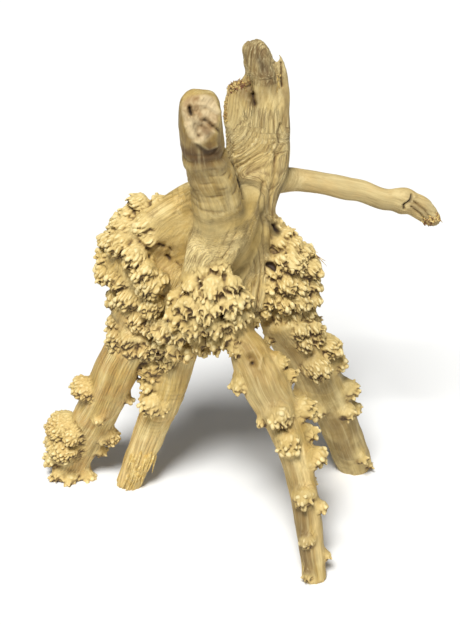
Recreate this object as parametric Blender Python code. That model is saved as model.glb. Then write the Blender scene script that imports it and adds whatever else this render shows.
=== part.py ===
"""Spider wood: a burled azalea-type root crown that stands on four cut roots, with a blunt front branch,
a broken flattened trunk and one thin side branch.

The whole plant part is grown as one form: swept limbs, and lumps of buds fused to them. It is then parted
at its main forks, so that each limb is a node of its own and meets the crown at a flat fork face.
Sizes are in millimetres, and MM turns them into metres. +X is the side branch's side, -Y the front.
"""

import math

import bmesh
import bpy
import numpy as np
from mathutils import Matrix, Vector

MM = 0.001

# How finely the form is made
VOXEL = 1.85  # side of a cell when limbs and lumps are fused
TRIANGLES = 7600  # of the whole form, before it is parted
SIDES = 28  # of a limb's section
STEPS = 5  # rings between two points of a limb's path
BUDS = 13  # coarse buds on one lump
BUD_VALLEY, BUD_RISE = 0.78, 0.44  # a lump's reach between its buds, and how much higher their tips are
BUD_WIDTH = 0.74  # cosine of the angle at which a bud has fallen away into the valley
BUD_POINT = 1.3  # over 1 draws the buds to a point
KNOB_LIFT = 0.22  # of a knob's radius, how far its middle stands out of the limb's skin
COLLAR_SINK, COLLAR_BACK, COLLAR_SIZE = 0.5, 0.15, 1.25  # the same for its collar's depth, way back and radius
COLLARED = 8.6  # knobs of this radius and over have no collar
BACK_DROP, BACK_FROM = 3, 2  # mirrored lumps sit this much lower, and start this far in front of the plane
FORK_GAP = 0.3  # between two nodes at a fork
SHARP_ANGLE = 55.0  # in degrees, an edge bent more than this is a crease
FLOOR = (400.0, 40.0)  # half width and depth of the block that trims the feet

X, Z = Vector((1, 0, 0)), Vector((0, 0, 1))

# Limbs. Path points are (x, y, z, half width, half depth), and a limb that lies across has its half width
# upright. Knobs are (share of the path, angle round the limb in degrees with 0 at the front and 90 at its
# +X side, radius). Flutes are (ridges round the limb, depth as a share of its radius).
LIMBS = {
    "front_root": {
        "path": (
            (2, -20, 176, 13, 16),
            (7, -27, 162, 10.5, 14),
            (12, -31, 155, 13, 14),
            (17.5, -36, 146, 15, 14.5),
            (25, -43, 132, 16, 15),
            (37, -53, 110, 13.5, 13.5),
            (45.5, -63, 87, 11, 11),
            (51.5, -72, 63, 10, 10),
            (55.5, -80, 36, 9.5, 9.5),
            (58.5, -86, 12, 9, 8.5),
            (59.5, -88, -2, 9, 8.5),
        ),
        "knobs": (
            (0.11, -42, 5), (0.21, 80, 6), (0.22, -78, 6.5), (0.26, 92, 6), (0.36, -2, 8.5),
            (0.37, -70, 4), (0.375, 86, 9), (0.46, -10, 8), (0.46, 90, 6.5), (0.545, 84, 8),
            (0.65, -8, 7.5), (0.705, 68, 5), (0.82, -14, 5), (0.895, 86, 4), (0.955, -33, 4),
            (0.22, 170, 6), (0.33, 190, 7), (0.5, 172, 6.5), (0.64, 150, 5), (0.78, 200, 4.5),
        ),
    },
    "right_root": {
        "path": (
            (35, 0, 166, 18, 17),
            (47, 7, 142, 19, 17),
            (62, 14, 107, 18, 16),
            (74, 21, 78, 16, 15),
            (84.5, 31, 44, 14.5, 14),
            (93, 39, 18, 14, 13),
            (98.5, 46, -3, 13.5, 12),
        ),
        "knobs": (
            (0.25, 24, 10.5), (0.2, 74, 8.5), (0.31, 84, 6.5), (0.48, 86, 7.5), (0.54, 46, 6.5),
            (0.58, 84, 5.5), (0.41, -70, 7), (0.47, -34, 7), (0.86, 45, 5), (0.93, 64, 4),
            (0.28, 160, 8), (0.45, 205, 7), (0.63, 165, 6), (0.8, 215, 5),
        ),
    },
    "left_root": {
        "path": (
            (-65, -4, 158, 16, 16),
            (-74, 3, 132, 16, 16),
            (-82, 7, 113, 16, 16),
            (-90, 14, 91, 16, 15),
            (-100, 22, 66, 16.5, 14),
            (-111.5, 31, 36, 14.5, 13),
            (-121, 37, 12, 13.5, 12),
            (-125, 39, -3, 12, 11),
        ),
        "knobs": (
            (0.415, -82, 10), (0.5, -3, 4.5), (0.38, 66, 4), (0.645, 70, 8), (0.77, 74, 5.5),
            (0.69, -50, 9), (0.71, -88, 14.5), (0.775, -58, 13.5), (0.82, -92, 11.5), (0.9, -76, 8),
            (0.95, -40, 7.5), (0.955, 0, 7), (0.945, 55, 7), (0.3, 165, 8), (0.5, 195, 7),
            (0.68, 170, 8), (0.84, 190, 8),
        ),
    },
    "rear_root": {
        "path": (
            (-36, 5, 140, 16, 16),
            (-42, 8, 115, 16, 15),
            (-46, 10, 97, 15, 14),
            (-50.5, 13, 79, 14, 13),
            (-56.5, 16, 63, 13, 12),
            (-65, 19, 38, 12, 11),
            (-72, 21, 18, 11, 10),
            (-79, 22.5, -3, 10.5, 9),
        ),
        "knobs": (
            (0.17, -62, 8), (0.25, -64, 7), (0.33, -62, 6), (0.33, -36, 9), (0.35, -8, 5.5),
            (0.12, -60, 9), (0.3, 150, 7), (0.42, 200, 6),
        ),
        "flutes": ((9, 0.05), (4, 0.05)),
    },
    "front_branch": {
        "path": (
            (-4, -13, 212, 17, 13),
            (-5, -17, 226, 18, 14.5),
            (-6, -20.5, 240, 18, 15.5),
            (-7, -24, 253, 17.5, 16),
            (-8.5, -27, 265, 17, 16),
            (-10.5, -32, 279, 16, 15),
            (-14.5, -37, 293, 15, 14.5),
            (-17.5, -42, 306.5, 14, 14),
            (-18.5, -48, 325, 14, 13.5),
            (-18.5, -53.5, 342, 12.8, 12.5),
            (-18.5, -55, 347.5, 10, 10),
        ),
        "cut": ((-16, -58.5, 329), (0.12, -0.97, 0.2)),
        "flutes": ((5, 0.04), (3, 0.03)),
    },
    "split_trunk": {
        "path": (
            (8, 0, 205, 16, 15),
            (9, 6, 225, 16, 15),
            (12.5, 10, 240, 17, 15),
            (16, 14, 259, 19.5, 14),
            (19, 15.5, 270, 21, 13.5),
            (19, 17, 281, 22, 13),
            (18, 18, 303, 22, 12),
            (18.5, 19, 318, 21, 10),
            (19, 19, 325, 16, 7),
        ),
        "flutes": ((7, 0.07), (12, 0.04)),
    },
    "trunk_spire": {
        "path": (
            (20, 18, 288, 8, 5),
            (22, 19, 306, 12, 8.5),
            (21.5, 19, 326, 12, 9),
            (20, 20, 338, 10.5, 8),
            (17, 20, 346, 9.5, 7),
            (14, 20, 352, 8.5, 6),
            (13, 20, 356, 7, 4),
        ),
        "flutes": ((4, 0.1), (7, 0.05)),
    },
    "trunk_shoulder": {
        "path": (
            (9, 18, 284, 5, 5),
            (5.5, 18, 302, 7.5, 7.5),
            (5, 18, 314, 8, 8),
            (4.6, 18, 322, 7, 7),
            (5, 18, 329, 5.5, 5),
        ),
    },
    "trunk_splinter": {
        "path": (
            (33, 18, 296, 3, 3),
            (36.5, 18, 312, 3.4, 3.4),
            (36.5, 18, 326, 2.6, 3),
            (34.5, 19, 338, 2, 2.2),
            (32, 20, 347, 1.2, 1.4),
        ),
    },
    "side_branch": {
        "path": (
            (18, 19, 255, 9, 9),
            (39.6, 24, 256, 8, 7.8),
            (53, 27, 254, 7.6, 7.1),
            (64, 29, 251, 7.5, 6.9),
            (79, 31, 246.5, 7.5, 6.9),
            (91, 33, 242.7, 7.5, 6.9),
            (106.5, 35, 236, 7.5, 7),
            (114, 37, 234.6, 8.0, 7.2),
            (122, 38, 233, 9.4, 8.6),
            (127, 38.5, 231, 7.4, 6.8),
            (134, 40, 226.6, 7.6, 6.8),
            (141.5, 42, 219.4, 6.2, 5.4),
            (147, 43, 214, 4.2, 3.6),
        ),
        "across": True,
        "flutes": ((5, 0.04), (2, 0.04)),
    },
    "left_shoulder": {
        "path": (
            (-2, 13, 246, 16, 11),
            (-17, 3, 251, 15, 12),
            (-29, -4, 252, 13, 11),
            (-40, -8, 248, 11, 10),
            (-52, -11, 240, 11, 10),
            (-63, -11, 228, 11, 11),
            (-72, -8, 212, 12, 12),
        ),
        "across": True,
        "flutes": ((8, 0.07), (3, 0.04)),
    },
    "left_sheet": {
        "path": (
            (-4, -5, 240, 13, 9),
            (-18, -8, 237, 15, 8),
            (-34, -9.5, 232, 17, 8),
            (-50, -10, 225, 15, 8),
            (-62, -10, 215, 11, 8),
        ),
        "across": True,
        "flutes": ((7, 0.06), (4, 0.04)),
    },
    "left_foot": {
        "path": (
            (18, 7, 270, 7, 5),
            (12, -4, 257, 12, 9),
            (0, -21, 244, 17, 14.5),
            (-12, -27, 228, 17, 12.5),
            (-20, -28, 210, 14, 10),
            (-25, -26, 192, 12, 8),
        ),
        "flutes": ((6, 0.07), (11, 0.04)),
    },
    "right_foot": {
        "path": (
            (16, 8, 252, 14, 13),
            (17.5, 3, 240, 11, 11),
            (18.5, -3, 226, 8.5, 10),
            (19, -7, 210, 8.5, 9),
            (18.5, -10, 193, 9, 9),
            (17, -12, 176, 9, 9),
        ),
        "flutes": ((6, 0.08), (10, 0.04)),
    },
}
PLAIN_FLUTES = ((3, 0.035), (5, 0.03))

# The crown's woody cores: centre and radii
CORES = (
    ((2, -6, 230), (21, 16, 26)),
    ((-6, -4, 190), (30, 22, 30)),
    ((-34, -4, 192), (26, 20, 26)),
    ((-40, -1, 219), (25, 15, 25)),
    ((-64, -3, 204), (23, 20, 27)),
    ((-66, -2, 172), (18, 16, 20)),
    ((22, 2, 196), (20, 17, 20)),
    ((24, 2, 174), (12, 12, 15)),
    ((31, 8, 220), (9, 8, 17)),
    ((42, 3, 190), (14, 14, 26)),
)

# The crown's lumps of buds, as (x, y, z, radius): the left, front and right burls
LEFT_BURL = (
    (-61, -2, 251, 7.5), (-67, -2, 243, 7), (-71, -8, 236, 8), (-81.5, -4, 224, 7), (-84, -2, 212, 7),
    (-85, -4, 199, 8), (-74, -16, 228, 9), (-57, -16, 241, 6.5), (-55, -17, 231, 6.5),
    (-63, -23, 222, 9), (-57, -26, 212, 9.5), (-53, -27, 202, 9), (-76, -14, 200, 8),
    (-47, -3, 252, 6), (-47, -24, 206, 6.5), (-70, -16, 186, 8.5), (-78.5, -6, 180, 7.5),
    (-79.5, -4, 160, 6.5), (-71, -6, 148, 6.5), (-64, -9, 149, 6.5), (-62, -14, 168, 8),
    (-53, -23, 185, 9), (-51, -20, 167, 8.5), (-56, -12, 146, 6.5), (-60, -5, 133, 5.5),
    (-49, -15, 148, 7.5), (-42, -10, 134, 6.5), (-44, -23, 164, 8.5), (-81, -8, 151, 6.5),
    (-73, -12, 150, 6.5), (-69, -11, 142, 6.5), (-80, -7, 143, 6), (-61, -13, 141, 6),
    (-54, -9, 139, 7), (-45, -9, 129, 6.5),
)
FRONT_BURL = (
    (-7, -33, 218, 7.5), (-17, -34, 214, 7.5), (-23, -36, 206, 8.5), (-11, -41, 208, 9.5),
    (1, -38, 209, 7.5), (9, -34, 197, 7), (-1, -41, 197, 9), (-15, -44, 195, 9.5), (-27, -39, 194, 9),
    (-36, -32, 196, 6.5), (-36, -33, 183, 8.5), (-24, -38, 178, 9), (-11, -40, 180, 8.5),
    (2, -38, 182, 8), (11, -32, 182, 5), (-34, -29, 166, 8), (-21, -30, 160, 7), (-10, -33, 162, 7.5),
    (1, -36, 167, 7), (-39, -21, 149, 7.5), (-30, -22, 147, 6.5), (-18, -26, 151, 5), (3, -35, 158, 5),
)
RIGHT_BURL = (
    (34, 8, 228, 5), (39, 4, 224, 6.5), (34, -1, 219, 6), (43, 0, 217, 7.5), (50, 1, 211, 8),
    (55, -1, 201, 8), (43, -7, 209, 9), (35, -9, 211, 6.5), (31, -13, 203, 5), (38, -12, 194, 8),
    (48, -6, 190, 7), (57, 1, 187, 6.5), (57, 1, 175, 6.5), (48, -7, 179, 8), (37, -11, 180, 8),
    (28, -13, 182, 5.5), (28, -15, 194, 4.5), (44, -6, 165, 7.5), (54, 0, 164, 7), (47, -2, 150, 6.5),
    (34, -7, 166, 5.5), (24, -13, 172, 4), (49, -10, 157, 6.5), (60, -5, 155, 6), (53, -10, 146, 6),
    (62, -4, 147, 6), (27, -6, 146, 4), (17, -16, 167, 4.5),
)
# Each outer burl wraps round to the back: the mirror plane's y, and the share of the depth kept there
BACK_OF_LEFT = (0.0, 0.9)
BACK_OF_RIGHT = (4.0, 1.0)
# Lumps low on the crown's back
BACK_LUMPS = (
    (-26, 19, 172, 8), (-38, 18, 182, 8), (-14, 20, 164, 7), (-2, 18, 156, 7), (-28, 18, 156, 7.5),
    (14, 17, 164, 7), (26, 18, 172, 8), (-42, 17, 198, 7), (-16, 14, 150, 7), (10, 8, 154, 6),
    (-28, 18, 210, 8), (-42, 18, 214, 8), (-34, 18, 226, 7), (-22, 19, 194, 8), (-50, 14, 228, 7),
    (-12, 20, 182, 7), (30, 18, 188, 7),
)

# Pits, as centre and radii: in the hollow under the left shoulder, beside the trunk's foot, in the branch's
# cut end, in the top fold of the front root and in the hooked end of the side branch
PITS = (
    ((-46, -17, 225), (2.5, 4, 2.5)),
    ((-40, -17, 223.4), (2.2, 4, 2)),
    ((-41, -17, 217), (2.5, 4, 2.5)),
    ((32, -3, 233), (3, 7, 4)),
    ((28.5, -13, 208), (3.5, 6, 3)),
    ((-24, -58, 339), (2.5, 5, 4)),
    ((-11, -61, 330), (2.2, 5, 5)),
    ((18, -50, 148), (3, 5, 5)),
    ((128, 31, 235), (2.5, 6, 5)),
    ((15, 8, 321), (2, 6, 6)),
)

# Fork faces: point, direction along the limb, then how far the node's region reaches: along the limb, to
# its -across and +across sides, and to its -over and +over sides, and how much wider it is at the far end.
# Across is the limb's +X side, or its upper side for a limb that lies across.
FORKS = {
    "front_root": ((17, -35, 148), (0.36, -0.40, -0.84), 220, (27, 24), (22, 34), 1.7),
    "right_root": ((57, 11, 123), (0.37, 0.22, -0.90), 190, (30, 40), (40, 40), 1.0),
    "left_root": ((-78, 5, 123), (-0.36, 0.27, -0.89), 190, (40, 18.5), (36, 36), 2.0),
    "rear_root": ((-41, 8, 121), (-0.22, 0.13, -0.97), 170, (18, 34), (36, 36), 1.3),
    "front_branch": ((-8, -29, 267), (-0.16, -0.37, 0.91), 140, (34, 34), (40, 22), 1.0),
    "split_trunk": ((17, 15, 268), (0.05, 0.10, 0.99), 130, (44, 44), (17, 26), 1.0),
    "side_branch": ((44, 25, 254.5), (0.96, 0.19, -0.20), 150, (22, 22), (22, 30), 1.6),
}

# Wood: base colour of each node, and the roughness and metallic value of them all
WOOD = {
    "root_crown": (0.62, 0.50, 0.28),
    "front_root": (0.66, 0.53, 0.31),
    "right_root": (0.58, 0.49, 0.29),
    "left_root": (0.66, 0.52, 0.28),
    "rear_root": (0.60, 0.46, 0.24),
    "front_branch": (0.52, 0.42, 0.22),
    "split_trunk": (0.56, 0.47, 0.28),
    "side_branch": (0.60, 0.50, 0.31),
}
ROUGHNESS, METALLIC = 0.72, 0.0


def smooth_path(points, steps=STEPS):
    """Points on a Catmull-Rom curve through the given rows, with every column smoothed alike."""
    rows = np.array(points, float)
    ends = np.vstack([2 * rows[0] - rows[1], rows, 2 * rows[-1] - rows[-2]])
    made = []
    for i in range(len(rows) - 1):
        a, b, c, d = ends[i : i + 4]
        square, cube = 2 * a - 5 * b + 4 * c - d, 3 * b - a - 3 * c + d
        for t in np.arange(steps) / steps:
            made.append(0.5 * (2 * b + (c - a) * t + square * t**2 + cube * t**3))
    return np.array(made + [rows[-1]])


def directions(curve, across):
    """Unit tangent, side and front vectors. Side is towards +X, or +Z for a limb lying across."""
    along = np.gradient(curve[:, :3], axis=0)
    along /= np.linalg.norm(along, axis=1)[:, None]
    wanted = np.array((0, 0, 1.0) if across else (1.0, 0, 0))
    side = wanted - (along @ wanted)[:, None] * along
    side /= np.linalg.norm(side, axis=1)[:, None]
    front = np.cross(side, along)
    front *= -np.sign(front[:, 1])[:, None]
    return along, side, front


def limb_mesh(limb, seed):
    """A closed tube along the limb's path, slightly fluted, cut off obliquely where the limb has a cut."""
    curve = smooth_path(limb["path"])
    along, side, front = directions(curve, limb.get("across", False))
    angle = np.linspace(0, 2 * math.pi, SIDES, endpoint=False)
    flute = np.ones(SIDES)
    random = np.random.default_rng(seed)
    for ridges, depth in limb.get("flutes", PLAIN_FLUTES):
        flute += depth * np.sin(ridges * angle + random.uniform(0, 2 * math.pi))
    ring = side[:, None] * (np.sin(angle) * flute)[None, :, None] * curve[:, 3, None, None]
    ring = ring + front[:, None] * (np.cos(angle) * flute)[None, :, None] * curve[:, 4, None, None]
    points = (curve[:, None, :3] + ring).reshape(-1, 3)
    if "cut" in limb:
        at, normal = (np.array(v, float) for v in limb["cut"])
        normal /= np.linalg.norm(normal)
        over = np.clip((points - at) @ normal, 0, None)
        points -= over[:, None] * normal
    count = len(curve)
    low = (np.arange(count - 1)[:, None] * SIDES + np.arange(SIDES)).ravel()
    next_low = (np.arange(count - 1)[:, None] * SIDES + (np.arange(SIDES) + 1) % SIDES).ravel()
    quads = np.stack([low, next_low, next_low + SIDES, low + SIDES], 1).tolist()
    ends = [list(range(SIDES))[::-1], list(range((count - 1) * SIDES, count * SIDES))]
    return points, quads + ends


def knob_places(limb):
    """Centre and radius of each knob on a limb, half sunk in its skin, and of the wider collar under each."""
    curve = smooth_path(limb["path"])
    along, side, front = directions(curve, limb.get("across", False))
    run = np.concatenate([[0], np.cumsum(np.linalg.norm(np.diff(curve[:, :3], axis=0), axis=1))])
    places, collars = [], []
    for share, degrees, radius in limb.get("knobs", ()):
        i = int(np.searchsorted(run, share * run[-1]))
        turn = math.radians(degrees)
        out = side[i] * math.sin(turn) + front[i] * math.cos(turn)
        skin = math.hypot(curve[i, 3] * math.sin(turn), curve[i, 4] * math.cos(turn))
        places.append((*(curve[i, :3] + out * (skin + KNOB_LIFT * radius)), radius))
        if radius < COLLARED:
            sunk = curve[i, :3] + out * (skin - COLLAR_SINK * radius) - along[i] * COLLAR_BACK * radius
            collars.append((*sunk, COLLAR_SIZE * radius))
    return places, collars


def back_of(burl, plane, keep):
    """The lumps of a burl mirrored to its back, past the given y."""
    return [(x, plane + (plane - y) * keep, z - BACK_DROP, r) for x, y, z, r in burl if plane - y > BACK_FROM]


def lump_mesh(place, seed):
    """A ball of coarse buds: an icosphere drawn out towards evenly spread bud directions."""
    ball = bmesh.new()
    bmesh.ops.create_icosphere(ball, subdivisions=3, radius=1)
    points = np.array([v.co for v in ball.verts])
    faces = [[v.index for v in f.verts] for f in ball.faces]
    ball.free()
    k = np.arange(BUDS) + 0.5
    turn = math.pi * (1 + math.sqrt(5)) * k + seed
    height = 1 - 2 * k / BUDS
    flat = np.sqrt(1 - height**2)
    buds = np.stack([np.cos(turn) * flat, np.sin(turn) * flat, height], 1)
    near = (points @ buds.T).max(1)
    reach = BUD_VALLEY + BUD_RISE * np.clip((near - BUD_WIDTH) / (1 - BUD_WIDTH), 0, 1) ** BUD_POINT
    return np.array(place[:3]) + points * (reach * place[3])[:, None], faces


def ellipsoid_mesh(centre, radii, fineness=3):
    """An icosphere stretched to three radii."""
    ball = bmesh.new()
    bmesh.ops.create_icosphere(ball, subdivisions=fineness, radius=1)
    points = np.array([v.co for v in ball.verts]) * np.array(radii) + np.array(centre)
    faces = [[v.index for v in f.verts] for f in ball.faces]
    ball.free()
    return points, faces


def shapes():
    """Every limb, core and lump as (points, faces), still overlapping."""
    made = [limb_mesh(limb, seed) for seed, limb in enumerate(LIMBS.values())]
    made += [ellipsoid_mesh(centre, radii) for centre, radii in CORES]
    lumps = [*LEFT_BURL, *FRONT_BURL, *RIGHT_BURL, *BACK_LUMPS]
    lumps += back_of(LEFT_BURL, *BACK_OF_LEFT) + back_of(RIGHT_BURL, *BACK_OF_RIGHT)
    for limb in LIMBS.values():
        knobs, collars = knob_places(limb)
        lumps += knobs
        made += [ellipsoid_mesh(place[:3], (place[3],) * 3) for place in collars]
    return made + [lump_mesh(place, seed) for seed, place in enumerate(lumps)]


def joined(name, some_shapes):
    """One object that holds all the given (points, faces) pairs, still separate."""
    points, faces, start = [], [], 0
    for shape_points, shape_faces in some_shapes:
        points.append(shape_points)
        faces += [[start + i for i in face] for face in shape_faces]
        start += len(shape_points)
    mesh = bpy.data.meshes.new(name)
    mesh.from_pydata((np.vstack(points) * MM).tolist(), [], faces)
    obj = bpy.data.objects.new(name, mesh)
    bpy.context.scene.collection.objects.link(obj)
    return obj


def helper(obj):
    """A cutter or a guide, which isn't part of the wood."""
    obj.hide_render = True
    obj.display_type = "WIRE"
    return obj


def applied(obj):
    """The object with its modifiers worked into its mesh."""
    bpy.context.view_layer.update()
    evaluated = obj.evaluated_get(bpy.context.evaluated_depsgraph_get())
    mesh = bpy.data.meshes.new_from_object(evaluated)
    obj.modifiers.clear()
    obj.data = mesh
    return obj


def grown_form():
    """The whole wood as one closed mesh: the shapes fused by a voxel remesh, thinned, then pitted."""
    form = joined("grown_form", shapes())
    fuse = form.modifiers.new("fuse", "REMESH")
    fuse.mode = "VOXEL"
    fuse.voxel_size = VOXEL * MM
    applied(form)
    thin = form.modifiers.new("thin", "DECIMATE")
    thin.use_collapse_triangulate = True
    thin.ratio = TRIANGLES / (2 * len(form.data.polygons))
    applied(form)
    pits = helper(joined("pits", [ellipsoid_mesh(centre, radii, 2) for centre, radii in PITS]))
    cut(form, pits, "DIFFERENCE")
    return applied(form)


def block(name, frame, low, high, spread=1.0):
    """A closed block with its low and high corners given in a frame of its own, wider at its high end."""
    shape = bmesh.new()
    bmesh.ops.create_cube(shape, size=1)
    for v in shape.verts:
        wide = spread if v.co.z > 0 else 1.0
        corner = [high[i] if v.co[i] > 0 else low[i] for i in range(3)]
        v.co = frame @ Vector((corner[0] * wide * MM, corner[1] * wide * MM, corner[2] * MM))
    mesh = bpy.data.meshes.new(name)
    shape.to_mesh(mesh)
    shape.free()
    obj = bpy.data.objects.new(name, mesh)
    bpy.context.scene.collection.objects.link(obj)
    return helper(obj)


def fork_frame(name):
    """The fork's own axes: across, over and along the limb, from the fork's point."""
    at, toward = (Vector(v) for v in FORKS[name][:2])
    along = toward.normalized()
    wanted = Z if LIMBS[name].get("across") else X
    across = (wanted - along * along.dot(wanted)).normalized()
    over = along.cross(across)
    frame = Matrix((across, over, along)).transposed().to_4x4()
    frame.translation = at * MM
    return frame


def fork_region(name, grow=0.0):
    """The block that a limb's node fills, grown on every side."""
    reach, across, over, spread = FORKS[name][2:]
    low = (-across[0] - grow, -over[0] - grow, -grow)
    high = (across[1] + grow, over[1] + grow, reach + grow)
    return block(f"{name}_region_{grow:g}", fork_frame(name), low, high, spread)


def cut(obj, cutter, operation):
    """Adds a boolean step with the cutter to the object."""
    step = obj.modifiers.new(cutter.name, "BOOLEAN")
    step.operation = operation
    step.object = cutter


def wood_material(name):
    """The plain wood of one node."""
    material = bpy.data.materials.new(name)
    material.use_nodes = True
    shader = material.node_tree.nodes["Principled BSDF"]
    shader.inputs["Base Color"].default_value = (*WOOD[name], 1)
    shader.inputs["Roughness"].default_value = ROUGHNESS
    shader.inputs["Metallic"].default_value = METALLIC
    return material


def node_from(form, name):
    """A copy of the whole form under a node's name, with that node's wood."""
    obj = bpy.data.objects.new(name, form.data.copy())
    bpy.context.scene.collection.objects.link(obj)
    obj.data.materials.clear()
    obj.data.materials.append(wood_material(name))
    return obj


def without_crumbs(obj):
    """The object without the loose slivers that a fork's walls can leave: only its largest body is kept."""
    shape = bmesh.new()
    shape.from_mesh(obj.data)
    shape.verts.ensure_lookup_table()
    bodies, seen = [], set()
    for start in shape.verts:
        if start in seen:
            continue
        seen.add(start)
        body, edge_of_body = [], [start]
        while edge_of_body:
            v = edge_of_body.pop()
            body.append(v)
            near = {e.other_vert(v) for e in v.link_edges} - seen
            seen |= near
            edge_of_body += near
        bodies.append(body)
    bodies.sort(key=len)
    for body in bodies[:-1]:
        bmesh.ops.delete(shape, geom=body, context="VERTS")
    shape.to_mesh(obj.data)
    shape.free()


def part_at_forks(form):
    """One object for each limb, inside its fork region, and the crown, outside them all."""
    inner = {name: fork_region(name) for name in FORKS}
    outer = {name: fork_region(name, FORK_GAP) for name in FORKS}
    crown = node_from(form, "root_crown")
    made = [crown]
    taken = []
    for name in FORKS:
        limb = node_from(form, name)
        cut(limb, inner[name], "INTERSECT")
        for other in taken:
            cut(limb, outer[other], "DIFFERENCE")
        cut(crown, outer[name], "DIFFERENCE")
        taken.append(name)
        made.append(limb)
    return made


def stand_on_floor(form):
    """Cuts the feet off flat at the floor, and finds the point under the middle of the form's box."""
    half, depth = FLOOR
    floor = block("floor", Matrix.Identity(4), (-half, -half, -depth), (half, half, 0))
    cut(form, floor, "DIFFERENCE")
    applied(form)
    corners = np.array([v.co for v in form.data.vertices])
    middle = (corners.min(0) + corners.max(0)) / 2
    return Vector((middle[0], middle[1], 0))


def main():
    for obj in list(bpy.data.objects):
        bpy.data.objects.remove(obj)
    form = grown_form()
    middle = stand_on_floor(form)
    for obj in part_at_forks(form):
        applied(obj)
        without_crumbs(obj)
        obj.data.transform(Matrix.Translation(-middle))
        obj.data.shade_smooth()
        obj.data.set_sharp_from_angle(angle=math.radians(SHARP_ANGLE))
    helper(form)
    print("origin moved by", [round(v / MM, 2) for v in middle], "mm")


main()
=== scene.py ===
import math

import bpy
import numpy as np
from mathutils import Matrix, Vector
from mathutils.geometry import delaunay_2d_cdt


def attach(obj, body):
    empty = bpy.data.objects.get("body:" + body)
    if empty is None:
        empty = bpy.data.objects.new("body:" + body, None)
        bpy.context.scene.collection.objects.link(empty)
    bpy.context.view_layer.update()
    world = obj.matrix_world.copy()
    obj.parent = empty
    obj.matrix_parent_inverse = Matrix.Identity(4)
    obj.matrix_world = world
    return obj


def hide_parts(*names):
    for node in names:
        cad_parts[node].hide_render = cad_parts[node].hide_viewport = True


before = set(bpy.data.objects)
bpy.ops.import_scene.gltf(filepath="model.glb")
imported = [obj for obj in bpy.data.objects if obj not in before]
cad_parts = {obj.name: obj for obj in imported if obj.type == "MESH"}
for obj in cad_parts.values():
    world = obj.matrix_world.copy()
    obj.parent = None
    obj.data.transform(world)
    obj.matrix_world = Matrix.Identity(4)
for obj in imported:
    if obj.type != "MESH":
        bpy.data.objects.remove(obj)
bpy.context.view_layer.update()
print("frame loaded")

# Lengths are millimetres up to meshFrom, which turns them into metres.
mm = 0.001
rng = np.random.default_rng(11)

wholeWood = {
    "woodVoxel": 1.6, "woodSmoothing": 12,    # the thick limbs and cores fused, and run into each other
    "bodyVoxel": 1.3, "bodySmoothing": 6,     # the thin limbs and the lumps added
    "skinVoxel": 0.66, "quickVoxel": 1.4,     # the buds added
    "skinSmoothing": 2,
    "lumpSize": 0.94,                         # the lumps under their buds, as a share of their radius
    # joins where the limbs run together more, as middle and reach, and how much smoother they are
    "melted": [((-9, -39, 252), 24), ((4, -31, 244), 18), ((13, -5, 260), 20)], "meltSmoothing": 70,
    "rowShift": (2.81, -20.90, 0.0),          # the paths are drawn round the trunk's foot, the row isn't
    "looking": (0.0, 0.866, -0.5),            # the way the photo looks at the wood
}
shift = np.array(wholeWood["rowShift"])
looking = np.array(wholeWood["looking"])

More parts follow.
